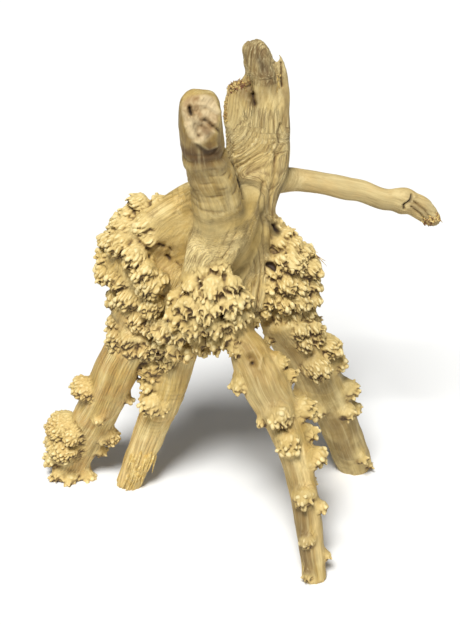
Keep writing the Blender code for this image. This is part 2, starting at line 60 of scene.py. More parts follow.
# Limbs. Path rows are (x, y, z, half width, half depth). Knobs are (share of the path, angle round the limb
# with 0 at the front and 90 at the +X side, radius, kind of bud). Flutes are (ridges, depth). Fibre is how
# deep the grain is, comb is combed lines as (spacing, depth, from, to), bands are wrinkles across the limb as
# (from, to, wavelength, height), and tint is (grey, olive, warm). Follows names the limb whose grain runs on
# into this one, and rules is how far a limb's grain carries over its neighbours'.
limbs = {
    "frontRoot": {
        "path": [(2, -20, 176, 13, 16), (7, -27, 162, 10.5, 14), (12, -31, 155, 13, 14),
                 (17.5, -36, 146, 15, 14.5), (25, -43, 132, 16, 15), (37, -53, 110, 13.5, 13.5),
                 (45.5, -63, 87, 11, 11), (51.5, -72, 63, 10, 10), (55.5, -80, 36, 9.5, 9.5),
                 (58.5, -86, 12, 9, 8.5), (59.5, -88, -2, 9, 8.5)],
        "knobs": [(0.11, -42, 5, "nub"), (0.21, 80, 6, "nub"), (0.22, -78, 6.5, "nub"),
                  (0.26, 92, 6, "nub"), (0.36, -2, 8.5, "nub"), (0.37, -70, 4, "nub"),
                  (0.375, 86, 9, "nub"), (0.46, -10, 8, "nub"), (0.46, 90, 6.5, "nub"),
                  (0.545, 84, 8, "nub"), (0.65, -8, 7.5, "nub"), (0.705, 68, 5, "nub"),
                  (0.82, -14, 5, "nub"), (0.895, 86, 4, "nub"), (0.955, -33, 4, "nub"),
                  (0.22, 170, 6, "nub"), (0.33, 190, 7, "nub"), (0.50, 172, 6.5, "nub"),
                  (0.64, 150, 5, "nub"), (0.78, 200, 4.5, "nub")],
        "flutes": [(5, 0.04), (9, 0.025)], "fibre": 0.55, "comb": (3.6, 0.15), "tint": (0.1, 0.55, 0.35),
    },
    "rightRoot": {
        "path": [(35, 0, 166, 18, 17), (47, 7, 142, 19, 17), (62, 14, 107, 18, 16), (74, 21, 78, 16, 15),
                 (84.5, 31, 44, 14.5, 14), (93, 39, 18, 14, 13), (98.5, 46, -3, 13.5, 12)],
        "knobs": [(0.25, 24, 10.5, "fan"), (0.20, 74, 8.5, "fan"), (0.31, 84, 6.5, "nub"),
                  (0.48, 86, 7.5, "nub"), (0.54, 46, 6.5, "nub"), (0.58, 84, 5.5, "nub"),
                  (0.41, -70, 7, "nub"), (0.47, -34, 7, "nub"), (0.86, 45, 5, "nub"), (0.93, 64, 4, "nub"),
                  (0.28, 160, 8, "nub"), (0.45, 205, 7, "nub"), (0.63, 165, 6, "nub"),
                  (0.80, 215, 5, "nub")],
        "flutes": [(4, 0.03), (7, 0.02)], "fibre": 0.5, "comb": (4.0, 0.1), "tint": (0.4, 0.8, 0.0),
    },
    "leftRoot": {
        "path": [(-65, -4, 158, 16, 16), (-74, 3, 132, 16, 16), (-82, 7, 113, 16, 16),
                 (-90, 14, 91, 16, 15), (-100, 22, 66, 16.5, 14), (-111.5, 31, 36, 14.5, 13),
                 (-121, 37, 12, 13.5, 12), (-125, 39, -3, 12, 11)],
        "knobs": [(0.415, -82, 10, "bead"), (0.50, -3, 4.5, "nub"), (0.38, 66, 4, "nub"),
                  (0.645, 70, 8, "bead"), (0.77, 74, 5.5, "nub"), (0.69, -50, 9, "bead"),
                  (0.71, -88, 14.5, "bead"), (0.775, -58, 13.5, "bead"), (0.82, -92, 11.5, "bead"),
                  (0.90, -76, 8, "nub"), (0.95, -40, 7.5, "nub"), (0.955, 0, 7, "nub"),
                  (0.945, 55, 7, "nub"), (0.30, 165, 8, "nub"), (0.50, 195, 7, "nub"),
                  (0.68, 170, 8, "nub"), (0.84, 190, 8, "nub")],
        "flutes": [(5, 0.04), (8, 0.03)], "fibre": 0.7, "comb": (3.6, 0.25), "tint": (0.0, 0.1, 0.8),
    },
    "rearRoot": {
        "path": [(-36, 5, 140, 16, 16), (-42, 8, 115, 16, 15), (-46, 10, 97, 15, 14),
                 (-50.5, 13, 79, 14, 13), (-56.5, 16, 63, 13, 12), (-65, 19, 38, 12, 11),
                 (-72, 21, 18, 11, 10), (-79, 22.5, -3, 10.5, 9)],
        "knobs": [(0.17, -62, 8, "nub"), (0.25, -64, 7, "nub"), (0.33, -62, 6, "nub"),
                  (0.33, -36, 9, "nub"), (0.35, -8, 5.5, "nub"), (0.12, -60, 9, "nub"),
                  (0.30, 150, 7, "nub"), (0.42, 200, 6, "nub")],
        "flutes": [(9, 0.03), (4, 0.04)], "fibre": 0.6, "bands": (34, 84, 3.4, 0.45),
        "comb": (3.0, 0.9, 92, 170),
        "tint": (0.0, 0.0, 0.5),
    },
    "frontBranch": {
        "path": [(-4, -13, 212, 17, 13), (-5, -17, 226, 18, 14.5), (-6, -20.5, 240, 18, 15.5),
                 (-7, -24, 253, 17.5, 16), (-8.5, -27, 265, 17, 16), (-10.5, -32, 279, 16, 15),
                 (-14.5, -37, 293, 15, 14.5), (-17.5, -42, 306.5, 14, 14), (-18.5, -48, 325, 14, 13.5),
                 (-18.5, -53.5, 342, 12.8, 12.5), (-18.5, -55, 347.5, 10, 10)],
        "cut": ((-16, -58.5, 329), (0.12, -0.97, 0.2)),
        "flutes": [(5, 0.03), (3, 0.03)], "fibre": 0.5, "bands": (56, 108, 5.0, 1.2),
        "tint": (0.1, 1.0, 0.1),
    },
    "splitTrunk": {
        "path": [(8, 0, 205, 16, 15), (9, 6, 225, 16, 15), (12.5, 10, 240, 17, 15),
                 (16, 14, 259, 19.5, 14), (19, 15.5, 270, 21, 13.5), (19, 17, 281, 22, 13),
                 (18, 18, 303, 22, 12), (18.5, 19, 318, 21, 10), (19, 19, 325, 16, 7)],
        "flutes": [(7, 0.05), (12, 0.03)], "fibre": 1.1, "comb": (2.6, 0.75), "tint": (0.5, 0.1, 0.0),
    },
    "trunkSpire": {
        "path": [(20, 18, 288, 8, 5), (22, 19, 306, 12, 8.5), (21.5, 19, 326, 12, 9),
                 (20, 20, 338, 10.5, 8), (17, 20, 346, 9.5, 7), (14, 20, 352, 8.5, 6), (13, 20, 356, 7, 4)],
        "flutes": [(4, 0.08), (7, 0.05)], "fibre": 1.1, "comb": (2.6, 0.75), "tint": (0.9, 0.3, 0.0),
        "follows": "splitTrunk",
    },
    "trunkShoulder": {
        "path": [(9, 18, 284, 5, 5), (5.5, 18, 302, 7.5, 7.5), (5, 18, 314, 8, 8), (4.6, 18, 322, 7, 7),
                 (5, 18, 329, 5.5, 5)],
        "flutes": [(5, 0.08)], "fibre": 1.1, "comb": (2.6, 0.75), "tint": (0.8, 0.2, 0.1),
        "follows": "splitTrunk",
    },
    "trunkSplinter": {
        "path": [(33, 18, 296, 3, 3), (36.5, 18, 312, 3.4, 3.4), (36.5, 18, 326, 2.6, 3),
                 (34.5, 19, 338, 2, 2.2), (32, 20, 347, 1.2, 1.4)],
        "flutes": [(3, 0.1)], "fibre": 0.5, "tint": (0.9, 0.3, 0.0), "follows": "splitTrunk", "thin": True,
    },
    "sideBranch": {
        "path": [(18, 19, 255, 9, 9), (39.6, 24, 256, 8, 7.8), (53, 27, 254, 7.6, 7.1),
                 (64, 29, 251, 7.5, 6.9), (79, 31, 246.5, 7.5, 6.9), (91, 33, 242.7, 7.5, 6.9),
                 (106.5, 35, 236, 7.5, 7), (114, 37, 234.6, 8.0, 7.2), (122, 38, 233, 9.4, 8.6),
                 (127, 38.5, 231, 7.4, 6.8), (134, 40, 226.6, 7.6, 6.8), (141.5, 42, 219.4, 6.2, 5.4),
                 (147, 43, 214, 4.2, 3.6)],
        "lying": True, "thin": True,
        "flutes": [(5, 0.03), (2, 0.04)], "fibre": 0.4, "comb": (2.2, 0.9, 112, 160),
        "tint": (1.0, 0.15, 0.25),
    },
    "leftShoulder": {
        "path": [(-2, 13, 246, 16, 11), (-17, 3, 251, 15, 12), (-29, -4, 252, 13, 11),
                 (-40, -8, 248, 11, 10), (-52, -11, 240, 11, 10), (-63, -11, 228, 11, 11),
                 (-72, -8, 212, 12, 12)],
        "lying": True,
        "flutes": [(8, 0.06), (3, 0.04)], "fibre": 0.7, "comb": (2.4, 0.35), "tint": (0.0, 0.05, 0.2),
    },
    "leftSheet": {
        "path": [(-4, -5, 240, 13, 9), (-18, -8, 237, 15, 8), (-34, -9.5, 232, 17, 8),
                 (-50, -10, 225, 15, 8), (-62, -10, 215, 11, 8)],
        "lying": True,
        "flutes": [(7, 0.05), (4, 0.04)], "fibre": 0.6, "comb": (2.4, 0.25), "tint": (0.0, 0.0, 0.15),
    },
    "leftFoot": {
        "path": [(18, 7, 270, 7, 5), (12, -4, 257, 12, 9), (0, -21, 244, 17, 14.5),
                 (-12, -27, 228, 17, 12.5), (-20, -28, 210, 14, 10), (-25, -26, 192, 12, 8)],
        "flutes": [(6, 0.07), (11, 0.04)], "fibre": 0.9, "comb": (3.0, 0.55), "tint": (0.0, 0.05, 0.1),
        "rules": 4.0,
    },
    "rightFoot": {
        "path": [(16, 8, 252, 14, 13), (17.5, 3, 240, 11, 11), (18.5, -3, 226, 8.5, 10),
                 (19, -7, 210, 8.5, 9), (18.5, -10, 193, 9, 9), (17, -12, 176, 9, 9)],
        "flutes": [(6, 0.08), (10, 0.04)], "fibre": 1.2, "comb": (3.4, 1.0), "tint": (0.2, 0.0, 0.0),
        "rules": 3.0,
    },
}

# The crown's woody cores: centre and radii
cores = [((2, -6, 230), (21, 16, 26)), ((-6, -4, 190), (30, 22, 30)), ((-34, -4, 192), (26, 20, 26)),
         ((-40, -1, 219), (25, 15, 25)), ((-64, -3, 204), (23, 20, 27)), ((-66, -2, 172), (18, 16, 20)),
         ((22, 2, 196), (20, 17, 20)), ((24, 2, 174), (12, 12, 15)), ((31, 8, 220), (9, 8, 17)),
         ((42, 3, 190), (14, 14, 26))]

# Burls. Lumps are (x, y, z, radius). Their buds grow away from the hub, with a pull of their own added.
burls = {
    "leftBurl": {
        "lumps": [(-61, -2, 251, 7.5), (-67, -2, 243, 7), (-71, -8, 236, 8), (-81.5, -4, 224, 7),
                  (-84, -2, 212, 7), (-85, -4, 199, 8), (-74, -16, 228, 9), (-57, -16, 241, 6.5),
                  (-55, -17, 231, 6.5), (-63, -23, 222, 9), (-57, -26, 212, 9.5), (-53, -27, 202, 9),
                  (-76, -14, 200, 8), (-47, -3, 252, 6), (-47, -24, 206, 6.5), (-70, -16, 186, 8.5),
                  (-78.5, -6, 180, 7.5), (-79.5, -4, 160, 6.5), (-71, -6, 148, 6.5), (-64, -9, 149, 6.5),
                  (-62, -14, 168, 8), (-53, -23, 185, 9), (-51, -20, 167, 8.5), (-56, -12, 146, 6.5),
                  (-60, -5, 133, 5.5), (-49, -15, 148, 7.5), (-42, -10, 134, 6.5), (-44, -23, 164, 8.5),
                  (-81, -8, 151, 6.5), (-73, -12, 150, 6.5), (-69, -11, 142, 6.5), (-80, -7, 143, 6),
                  (-61, -13, 141, 6), (-54, -9, 139, 7), (-45, -9, 129, 6.5)],
        "hub": (-38, -8, 238), "pull": (-0.45, -0.3, -0.55), "kind": "finger", "backPlane": 0.0,
        "backKeep": 0.9,
    },
    "frontBurl": {
        "lumps": [(-7, -33, 218, 7.5), (-17, -34, 214, 7.5), (-23, -36, 206, 8.5), (-11, -41, 208, 9.5),
                  (1, -38, 209, 7.5), (9, -34, 197, 7), (-1, -41, 197, 9), (-15, -44, 195, 9.5),
                  (-27, -39, 194, 9), (-36, -32, 196, 6.5), (-36, -33, 183, 8.5), (-24, -38, 178, 9),
                  (-11, -40, 180, 8.5), (2, -38, 182, 8), (11, -32, 182, 5), (-34, -29, 166, 8),
                  (-21, -30, 160, 7), (-10, -33, 162, 7.5), (1, -36, 167, 7), (-39, -21, 149, 7.5),
                  (-30, -22, 147, 6.5), (-18, -26, 151, 5), (3, -35, 158, 5)],
        "hub": (-8, -20, 222), "pull": (0.0, -0.45, -0.85), "kind": "cluster",
    },
    "rightBurl": {
        "lumps": [(34, 8, 228, 5), (39, 4, 224, 6.5), (34, -1, 219, 6), (43, 0, 217, 7.5), (50, 1, 211, 8),
                  (55, -1, 201, 8), (43, -7, 209, 9), (35, -9, 211, 6.5), (31, -13, 203, 5),
                  (38, -12, 194, 8), (48, -6, 190, 7), (57, 1, 187, 6.5), (57, 1, 175, 6.5),
                  (48, -7, 179, 8), (37, -11, 180, 8), (28, -13, 182, 5.5), (28, -15, 194, 4.5),
                  (44, -6, 165, 7.5), (54, 0, 164, 7), (47, -2, 150, 6.5), (34, -7, 166, 5.5),
                  (24, -13, 172, 4), (49, -10, 157, 6.5), (60, -5, 155, 6), (53, -10, 146, 6),
                  (62, -4, 147, 6), (27, -6, 146, 4), (17, -16, 167, 4.5)],
        "hub": (26, 2, 222), "pull": (0.3, -0.3, -0.4), "kind": "fan", "backPlane": 4.0, "backKeep": 1.0,
    },
    "backBurl": {
        "lumps": [(-26, 19, 172, 8), (-38, 18, 182, 8), (-14, 20, 164, 7), (-2, 18, 156, 7),
                  (-28, 18, 156, 7.5), (14, 17, 164, 7), (26, 18, 172, 8), (-42, 17, 198, 7),
                  (-16, 14, 150, 7), (10, 8, 154, 6), (-28, 18, 210, 8), (-42, 18, 214, 8),
                  (-34, 18, 226, 7), (-22, 19, 194, 8), (-50, 14, 228, 7), (-12, 20, 182, 7),
                  (30, 18, 188, 7)],
        "hub": (-8, 4, 210), "pull": (0.0, 0.2, -0.7), "kind": "cluster",
    },
}


# Catmull-Rom: half of (2b + (c-a)t + (2a-5b+4c-d)t^2 + (3b-a-3c+d)t^3) between each two rows
def smoothPath(rows, steps=8):
    rows = np.array(rows, float)
    ends = np.vstack([2 * rows[0] - rows[1], rows, 2 * rows[-1] - rows[-2]])
    a, b, c, d = (ends[i:len(rows) - 1 + i, None] for i in range(4))
    t = (np.arange(steps) / steps)[None, :, None]
    curve = 0.5 * (2 * b + (c - a) * t + (2 * a - 5 * b + 4 * c - d) * t**2 + (3 * b - a - 3 * c + d) * t**3)
    return np.vstack([curve.reshape(-1, rows.shape[1]), rows[-1:]])


def unit(v):
    return v / np.maximum(np.linalg.norm(v, axis=-1, keepdims=True), 1e-9)


def smoothStep(low, high, x):
    t = np.clip((x - low) / (high - low), 0, 1)
    return t * t * (3 - 2 * t)


# unit vectors along the path, to its side (+X, or +Z for a lying limb) and to its front (-Y)
def pathDirections(curve, lying=False):
    along = unit(np.gradient(curve[:, :3], axis=0))
    wanted = np.array((0, 0, 1.0) if lying else (1.0, 0, 0))
    side = unit(wanted - (along @ wanted)[:, None] * along)
    front = np.cross(side, along)
    return along, side, front * -np.sign(front[:, 1:2])


def pathRun(curve):
    return np.concatenate([[0], np.cumsum(np.linalg.norm(np.diff(curve[:, :3], axis=0), axis=1))])


# many closed surfaces at once, each a grid that closes round itself, with a pole at both ends
def closedGrids(rings, poles):
    count, rows, sides = rings.shape[:3]
    points = np.concatenate([rings.reshape(count, -1, 3), poles], 1)
    j = np.arange(sides)
    following = (j + 1) % sides
    start = np.arange(rows - 1)[:, None] * sides
    a, b = (start + j).ravel(), (start + following).ravel()
    quads = np.stack([a, b, b + sides, a + sides], 1)
    last = (rows - 1) * sides
    bottom = np.stack([following, j, np.full(sides, rows * sides)], 1)
    top = np.stack([last + j, last + following, np.full(sides, rows * sides + 1)], 1)
    offset = (np.arange(count) * points.shape[1])[:, None, None]
    tris = (np.vstack([bottom, top]) + offset).reshape(-1, 3)
    return points.reshape(-1, 3), (quads + offset).reshape(-1, 4), tris


# point(s, a) = centre + side * width * k * sin a + front * depth * k * cos a, with k as 1 and the flutes
def limbSurface(limb, sides=64):
    curve = smoothPath(limb["path"])
    along, side, front = pathDirections(curve, limb.get("lying", False))
    angle = np.linspace(0, 2 * math.pi, sides, endpoint=False)[None, :]
    run = pathRun(curve)[:, None]
    k = 1.0
    for ridges, depth in limb["flutes"]:
        phase = rng.uniform(0, 6.28, 2)
        k = k + depth * np.sin(ridges * (angle + 0.25 * np.sin(run / 23 + phase[0])) + phase[1])
    ring = side[:, None] * (np.sin(angle) * k * curve[:, 3:4])[..., None]
    ring = ring + front[:, None] * (np.cos(angle) * k * curve[:, 4:5])[..., None] + curve[:, None, :3]
    poles = np.stack([curve[0, :3] - along[0] * 2, curve[-1, :3] + along[-1] * 1.5])
    if "cut" in limb:
        at, normal = np.array(limb["cut"][0]), unit(np.array(limb["cut"][1]))
        ring = ring - np.clip((ring - at) @ normal, 0, None)[..., None] * normal
        poles = poles - np.clip((poles - at) @ normal, 0, None)[..., None] * normal
    return closedGrids(ring[None], poles[None])


# point(u, v) = centre + radii * (sin u cos v, sin u sin v, cos u), for many ellipsoids
def ellipsoids(centres, radii, rows=15, sides=24):
    centres, radii = np.array(centres, float), np.array(radii, float)
    u = (np.arange(rows) + 1) / (rows + 1) * math.pi
    v = np.linspace(0, 2 * math.pi, sides, endpoint=False)
    ball = np.stack([np.outer(np.sin(u), np.cos(v)), np.outer(np.sin(u), np.sin(v)),
                     np.outer(np.cos(u), np.ones(sides))], -1)
    rings = centres[:, None, None] + ball[None] * radii[:, None, None]
    poles = centres[:, None] + np.array([(0, 0, 1.0), (0, 0, -1.0)])[None] * radii[:, None]
    return closedGrids(rings, poles)


knobLook = {
    "rise": 0.22,                      # the middle's height over the skin, as a share of the radius
    "outward": 0.55, "onward": 0.8,    # the way the buds grow
    "collarSink": 0.5, "collarBack": 0.15, "collarSize": 1.25,
    "collarUnder": 8.6,                # knobs of this radius and over have no collar
}


# knobs sit half sunk in a limb's skin on a wider and deeper collar, and their buds grow out and on along it
def knobLumps(limb):
    curve = smoothPath(limb["path"])
    along, side, front = pathDirections(curve, limb.get("lying", False))
    run = pathRun(curve)
    lumps, kinds, growth, collars = [], [], [], []
    for share, degrees, radius, kind in limb.get("knobs", []):
        i = int(np.searchsorted(run, share * run[-1]))
        a = math.radians(degrees)
        out = side[i] * math.sin(a) + front[i] * math.cos(a)
        skin = math.hypot(curve[i, 3] * math.sin(a), curve[i, 4] * math.cos(a))
        lumps.append((*(curve[i, :3] + out * (skin + knobLook["rise"] * radius)), radius))
        kinds.append(kind)
        growth.append(unit(out * knobLook["outward"] + along[i] * knobLook["onward"]))
        if radius < knobLook["collarUnder"]:
            middle = curve[i, :3] + out * (skin - knobLook["collarSink"] * radius)
            middle = middle - along[i] * knobLook["collarBack"] * radius
            collars.append((*middle, knobLook["collarSize"] * radius))
    return lumps, kinds, growth, collars


burlShape = {
    "outward": 0.6,                    # how much of a burl's growth is away from its hub
    "backFrom": 2, "backDrop": 3,      # lumps this far before the back plane are repeated behind it, lower
}


# every lump with its kind of bud and growth direction
def allLumps():
    lumps, kinds, growth = [], [], []
    for burl in burls.values():
        some = list(burl["lumps"])
        if "backPlane" in burl:
            plane, keep = burl["backPlane"], burl["backKeep"]
            drop = burlShape["backDrop"]
            front = [lump for lump in burl["lumps"] if plane - lump[1] > burlShape["backFrom"]]
            some += [(x, plane + (plane - y) * keep, z - drop, radius) for x, y, z, radius in front]
        away = unit(np.array(some)[:, :3] - np.array(burl["hub"]))
        lumps += some
        kinds += [burl["kind"]] * len(some)
        growth += list(unit(away * burlShape["outward"] + np.array(burl["pull"])))
    for limb in limbs.values():
        some = knobLumps(limb)
        lumps, kinds, growth = lumps + some[0], kinds + some[1], growth + some[2]
    return np.array(lumps), np.array(kinds), np.array(growth)


# Buds of each kind: spacing on a lump, radius, rise over the lump as a share of its radius, how far they
# slide along the growth, how wide they are against their thickness, where on the lump they begin (-1 is its
# top), and the cells pressed into them: size, height and how much longer they are along the growth
budKinds = {
    "nub": {"spacing": 5.0, "radius": (1.5, 2.1), "rise": 0.42, "slide": 0.30, "wide": 1.0, "begin": 0.0,
            "cell": 4.0, "height": 0.7, "stretch": 1.5},
    "cluster": {"spacing": 5.2, "radius": (1.4, 2.1), "rise": 0.60, "slide": 0.50, "wide": 1.0,
                "begin": -0.15, "cell": 4.0, "height": 0.8, "stretch": 1.7},
    "finger": {"spacing": 5.0, "radius": (1.2, 1.7), "rise": 0.45, "slide": 0.85, "wide": 1.1,
               "begin": -0.15, "cell": 2.8, "height": 1.5, "stretch": 3.6},
    "fan": {"spacing": 5.0, "radius": (1.2, 1.7), "rise": 0.45, "slide": 0.85, "wide": 1.0, "begin": -0.20,
            "cell": 2.8, "height": 1.5, "stretch": 3.6},
    "bead": {"spacing": 3.4, "radius": (1.1, 1.4), "rise": 0.12, "slide": 0.30, "wide": 0.8, "begin": -1.1,
             "cell": 2.9, "height": 1.7, "stretch": 1.9},
}


budGrowth = {
    "body": 0.88, "foot": 0.62,                 # the body as a share of the lump, and the feet of the body
    "goldenAngle": 2.39996, "placeScatter": 0.12, "turnScatter": 0.18,
    "slide": (0.5, 1.4), "rise": (0.55, 1.35),  # how much one bud's slide and rise differ from another's
    "covered": 0.84,                            # tips this far inside another lump are left out
}


# Buds start on a lump by the golden angle. The centre line is (1-u)^2 foot + 2u(1-u) middle + u^2 tip, which
# lies along the lump's skin, and the section's radius is r (1 - 0.3 u) sqrt(1 - u^8), wider across.
def budSurfaces(lumps, kinds, growth, rows=10, sides=10):
    feet, middles, tips, radius, across, wide, owner = [], [], [], [], [], [], []
    for n, (lump, kind, grows) in enumerate(zip(lumps, kinds, growth)):
        style, size = budKinds[kind], lump[3] * budGrowth["body"]
        count = int(4 * math.pi * size**2 / style["spacing"]**2) + 4
        k = np.arange(count) + 0.5
        height = 1 - 2 * k / count
        turn = budGrowth["goldenAngle"] * k + 1.7 * n
        flat = np.sqrt(1 - height**2)
        out = np.stack([np.cos(turn) * flat, np.sin(turn) * flat, height], 1)
        out = unit(out + rng.normal(0, budGrowth["placeScatter"], out.shape))
        facing = out @ grows
        out, facing = out[facing > style["begin"]], facing[facing > style["begin"]]
        count = len(out)
        along = unit(grows - facing[:, None] * out + rng.normal(0, budGrowth["turnScatter"], out.shape))
        along = unit(along - (along * out).sum(1)[:, None] * out)
        slid = unit(out + along * (style["slide"] * rng.uniform(*budGrowth["slide"], count))[:, None])
        lowerEnd = 0.35 + 0.65 * smoothStep(-0.6, 0.5, facing)
        rise = size * style["rise"] * lowerEnd * rng.uniform(*budGrowth["rise"], count)
        feet.append(lump[:3] + out * size * budGrowth["foot"])
        middles.append(lump[:3] + unit(out + slid) * (size * 0.97 + rise * 0.35)[:, None])
        tips.append(lump[:3] + slid * (size + rise)[:, None])
        radius.append(rng.uniform(*style["radius"], count) * min(1.0, 0.66 + lump[3] / 24))
        across.append(unit(np.cross(unit(out + slid), along)))
        wide.append(np.full(count, style["wide"]))
        owner.append(np.full(count, n))
    feet, middles, tips, across = (np.vstack(v) for v in (feet, middles, tips, across))
    radius, wide, owner = (np.concatenate(v) for v in (radius, wide, owner))
    shown = np.ones(len(tips), bool)
    for n, (x, y, z, r) in enumerate(lumps):
        shown &= (owner == n) | (np.linalg.norm(tips - (x, y, z), axis=1) > r * budGrowth["covered"])
    feet, middles, tips, across = (v[shown] for v in (feet, middles, tips, across))
    radius, wide = radius[shown], wide[shown]
    u = (1 - (1 - np.linspace(0.0, 0.93, rows))**2)[None, :, None]
    centre = (1 - u)**2 * feet[:, None] + 2 * u * (1 - u) * middles[:, None] + u**2 * tips[:, None]
    tangent = unit((1 - u) * (middles - feet)[:, None] + u * (tips - middles)[:, None])
    over = np.cross(across[:, None], tangent)
    v = np.linspace(0, 2 * math.pi, sides, endpoint=False)
    profile = ((1 - 0.30 * u) * np.sqrt(1 - u**8))[..., None] * radius[:, None, None, None]
    rings = across[:, None, None] * (np.cos(v)[None, None, :, None] * wide[:, None, None, None])
    rings = centre[:, :, None] + (rings + over[:, :, None] * np.sin(v)[None, None, :, None]) * profile
    poles = np.stack([feet - tangent[:, 0] * 0.5, tips], 1)
    return closedGrids(rings, poles)


def meshFrom(name, points, faceArrays):
    mesh = bpy.data.meshes.new(name)
    mesh.vertices.add(len(points))
    mesh.vertices.foreach_set("co", (points * mm).astype(np.float32).ravel())
    corners = np.concatenate([f.ravel() for f in faceArrays])
    sizes = np.concatenate([np.full(len(f), f.shape[1]) for f in faceArrays])
    mesh.loops.add(len(corners))
    mesh.loops.foreach_set("vertex_index", corners.astype(np.int32))
    mesh.polygons.add(len(sizes))
    mesh.polygons.foreach_set("loop_start", np.concatenate([[0], np.cumsum(sizes)[:-1]]).astype(np.int32))
    mesh.update(calc_edges=True)
    return mesh


def together(surfaces):
    points, quads, tris, start = [], [], [], 0
    for p, q, t in surfaces:
        points.append(p)
        quads.append(q + start)
        tris.append(t + start)
        start += len(p)
    return np.vstack(points), np.vstack(quads), np.vstack(tris)


# all the closed surfaces fused into one skin by a voxel remesh, read back as arrays
def fusedSkin(surfaces, voxel):
    points, quads, tris = together(surfaces)
    obj = bpy.data.objects.new("fusing", meshFrom("fusing", points, [quads, tris]))
    bpy.context.scene.collection.objects.link(obj)
    remesh = obj.modifiers.new("fuse", "REMESH")
    remesh.mode = "VOXEL"
    remesh.voxel_size = voxel * mm
    made = obj.evaluated_get(bpy.context.evaluated_depsgraph_get()).to_mesh()
    skin = np.empty(len(made.vertices) * 3, np.float32)
    made.vertices.foreach_get("co", skin)
    faces = np.empty(len(made.loops), np.int32)
    made.loops.foreach_get("vertex_index", faces)
    bpy.data.objects.remove(obj)
    return skin.reshape(-1, 3).astype(float) / mm, faces.reshape(-1, 4)


# in a closed skin of quads each edge is walked once each way, so four steps a face name every neighbour once
def neighbours(faces):
    return faces.T.ravel(), np.roll(faces, -1, axis=1).T.ravel()


# for each number in the index, the sum of the rows of values that carry it
def totals(index, values, count):
    return np.stack([np.bincount(index, column, count) for column in values.T], 1)


# each value moved part of the way to the mean of its neighbours'
def smoothed(values, steps, rounds, amount=0.5):
    start, end = steps
    count = len(values)
    degree = np.maximum(np.bincount(start, minlength=count), 1)[:, None]
    for _ in range(rounds):
        mean = totals(start, values[end], count) / degree
        values = values + amount * (mean - values)
    return values


# the area-weighted mean of the normals of the faces round each point
def pointNormals(points, faces):
    diagonal = np.cross(points[faces[:, 2]] - points[faces[:, 0]], points[faces[:, 3]] - points[faces[:, 1]])
    return unit(sum(totals(faces[:, k], diagonal, len(points)) for k in range(4)))


# a well mixed 32 bit number for each cell corner
def hashed(cell, seed):
    primes = np.array([374761393, 668265263, 2246822519], np.uint32)
    h = (cell * primes).sum(1, dtype=np.uint32) + np.uint32(seed * 3266489917 % 2**32)
    h = (h ^ (h >> np.uint32(13))) * np.uint32(1274126177)
    return h ^ (h >> np.uint32(16))


# value noise: a number at each cell corner, blended by 6t^5 - 15t^4 + 10t^3
def noise(points, seed=0):
    cell = np.floor(points)
    f = (points - cell).astype(np.float32)
    f = f * f * f * (f * (f * 6 - 15) + 10)
    cell = cell.astype(np.int64).astype(np.uint32)
    total = np.zeros(len(points), np.float32)
    for corner in np.ndindex(2, 2, 2):
        weight = np.prod(np.where(corner, f, 1 - f), axis=1)
        h = hashed(cell + np.array(corner, np.uint32), seed)
        total += weight * (h.astype(np.float32) / np.float32(2147483648.0) - 1)
    return total


# cellular noise: distance to the nearest and to the second nearest of one random spot in each unit cell, and
# how far the point lies past the nearest along the third axis
def cells(points, seed):
    base = np.floor(points)
    nearest = np.full(len(points), 9.0)
    second, past = nearest.copy(), np.zeros(len(points))
    for corner in np.ndindex(3, 3, 3):
        cell = base + np.array(corner) - 1
        h = hashed(cell.astype(np.int64).astype(np.uint32), seed)
        low, middle, high = h & np.uint32(1023), (h >> np.uint32(10)) & np.uint32(1023), h >> np.uint32(22)
        spot = np.stack([low, middle, high], 1) / 1023
        away = points - (cell + 0.1 + 0.8 * spot)
        far = np.linalg.norm(away, axis=1)
        second = np.minimum(second, np.maximum(nearest, far))
        past = np.where(far < nearest, away[:, 2], past)
        nearest = np.minimum(nearest, far)
    return nearest, second, past


# 1 where the noise crosses zero, falling off over the width: long thin grooves when read in grain space
def grooves(points, seed, width):
    return np.exp(-(noise(points, seed) / width)**2)


# a limb's own coordinates at each point: offset to its side and its front, run along it, and gap to its skin
def limbCoordinates(points, limb):
    curve = smoothPath(limb["path"], 5)
    along, side, front = pathDirections(curve, limb.get("lying", False))
    run = pathRun(curve)
    best, index = np.full(len(points), 1e9), np.zeros(len(points), int)
    for i in range(len(curve)):
        far = ((points - curve[i, :3])**2).sum(1)
        closer = far < best
        best[closer], index[closer] = far[closer], i
    offset = points - curve[index, :3]
    step = (offset * along[index]).sum(1)
    offset = offset - step[:, None] * along[index]
    x, y = (offset * side[index]).sum(1), (offset * front[index]).sum(1)
    skin = np.hypot(x / curve[index, 3], y / curve[index, 4])
    gap = np.clip(skin - 1, 0, None) * curve[index, 4] + np.clip(np.abs(step) - 3, 0, None)
    return x, y, run[index] + step, gap


grainLook = {
    "wander": (26, 1.8),                                          # size and reach of the grain's drift
    "fibres": [(6.5, 0.7, 1), (3.0, 0.42, 2), (1.5, 0.25, 3)],    # size, height and seed
    "groove": (4.3, 0.9, 0.10), "groovePatch": 17,                # size, depth, sharpness, and their patches
    "combSlant": 0.6, "combSharp": 0.42, "combEdge": 4, "combPatch": 12,
    "wrinkleEdges": (14, 8), "creaseDepth": 0.7, "creaseSharp": 0.6,
    "blend": 1.6, "squeeze": 0.05,                                # how far limbs blend, and how drawn out
    "swing": (72, 105),                                           # the trunk's run where its grain turns
    "takeOver": (8, 50), "fadeIn": (10, 30),                      # the run where a ruling limb's grain begins
}


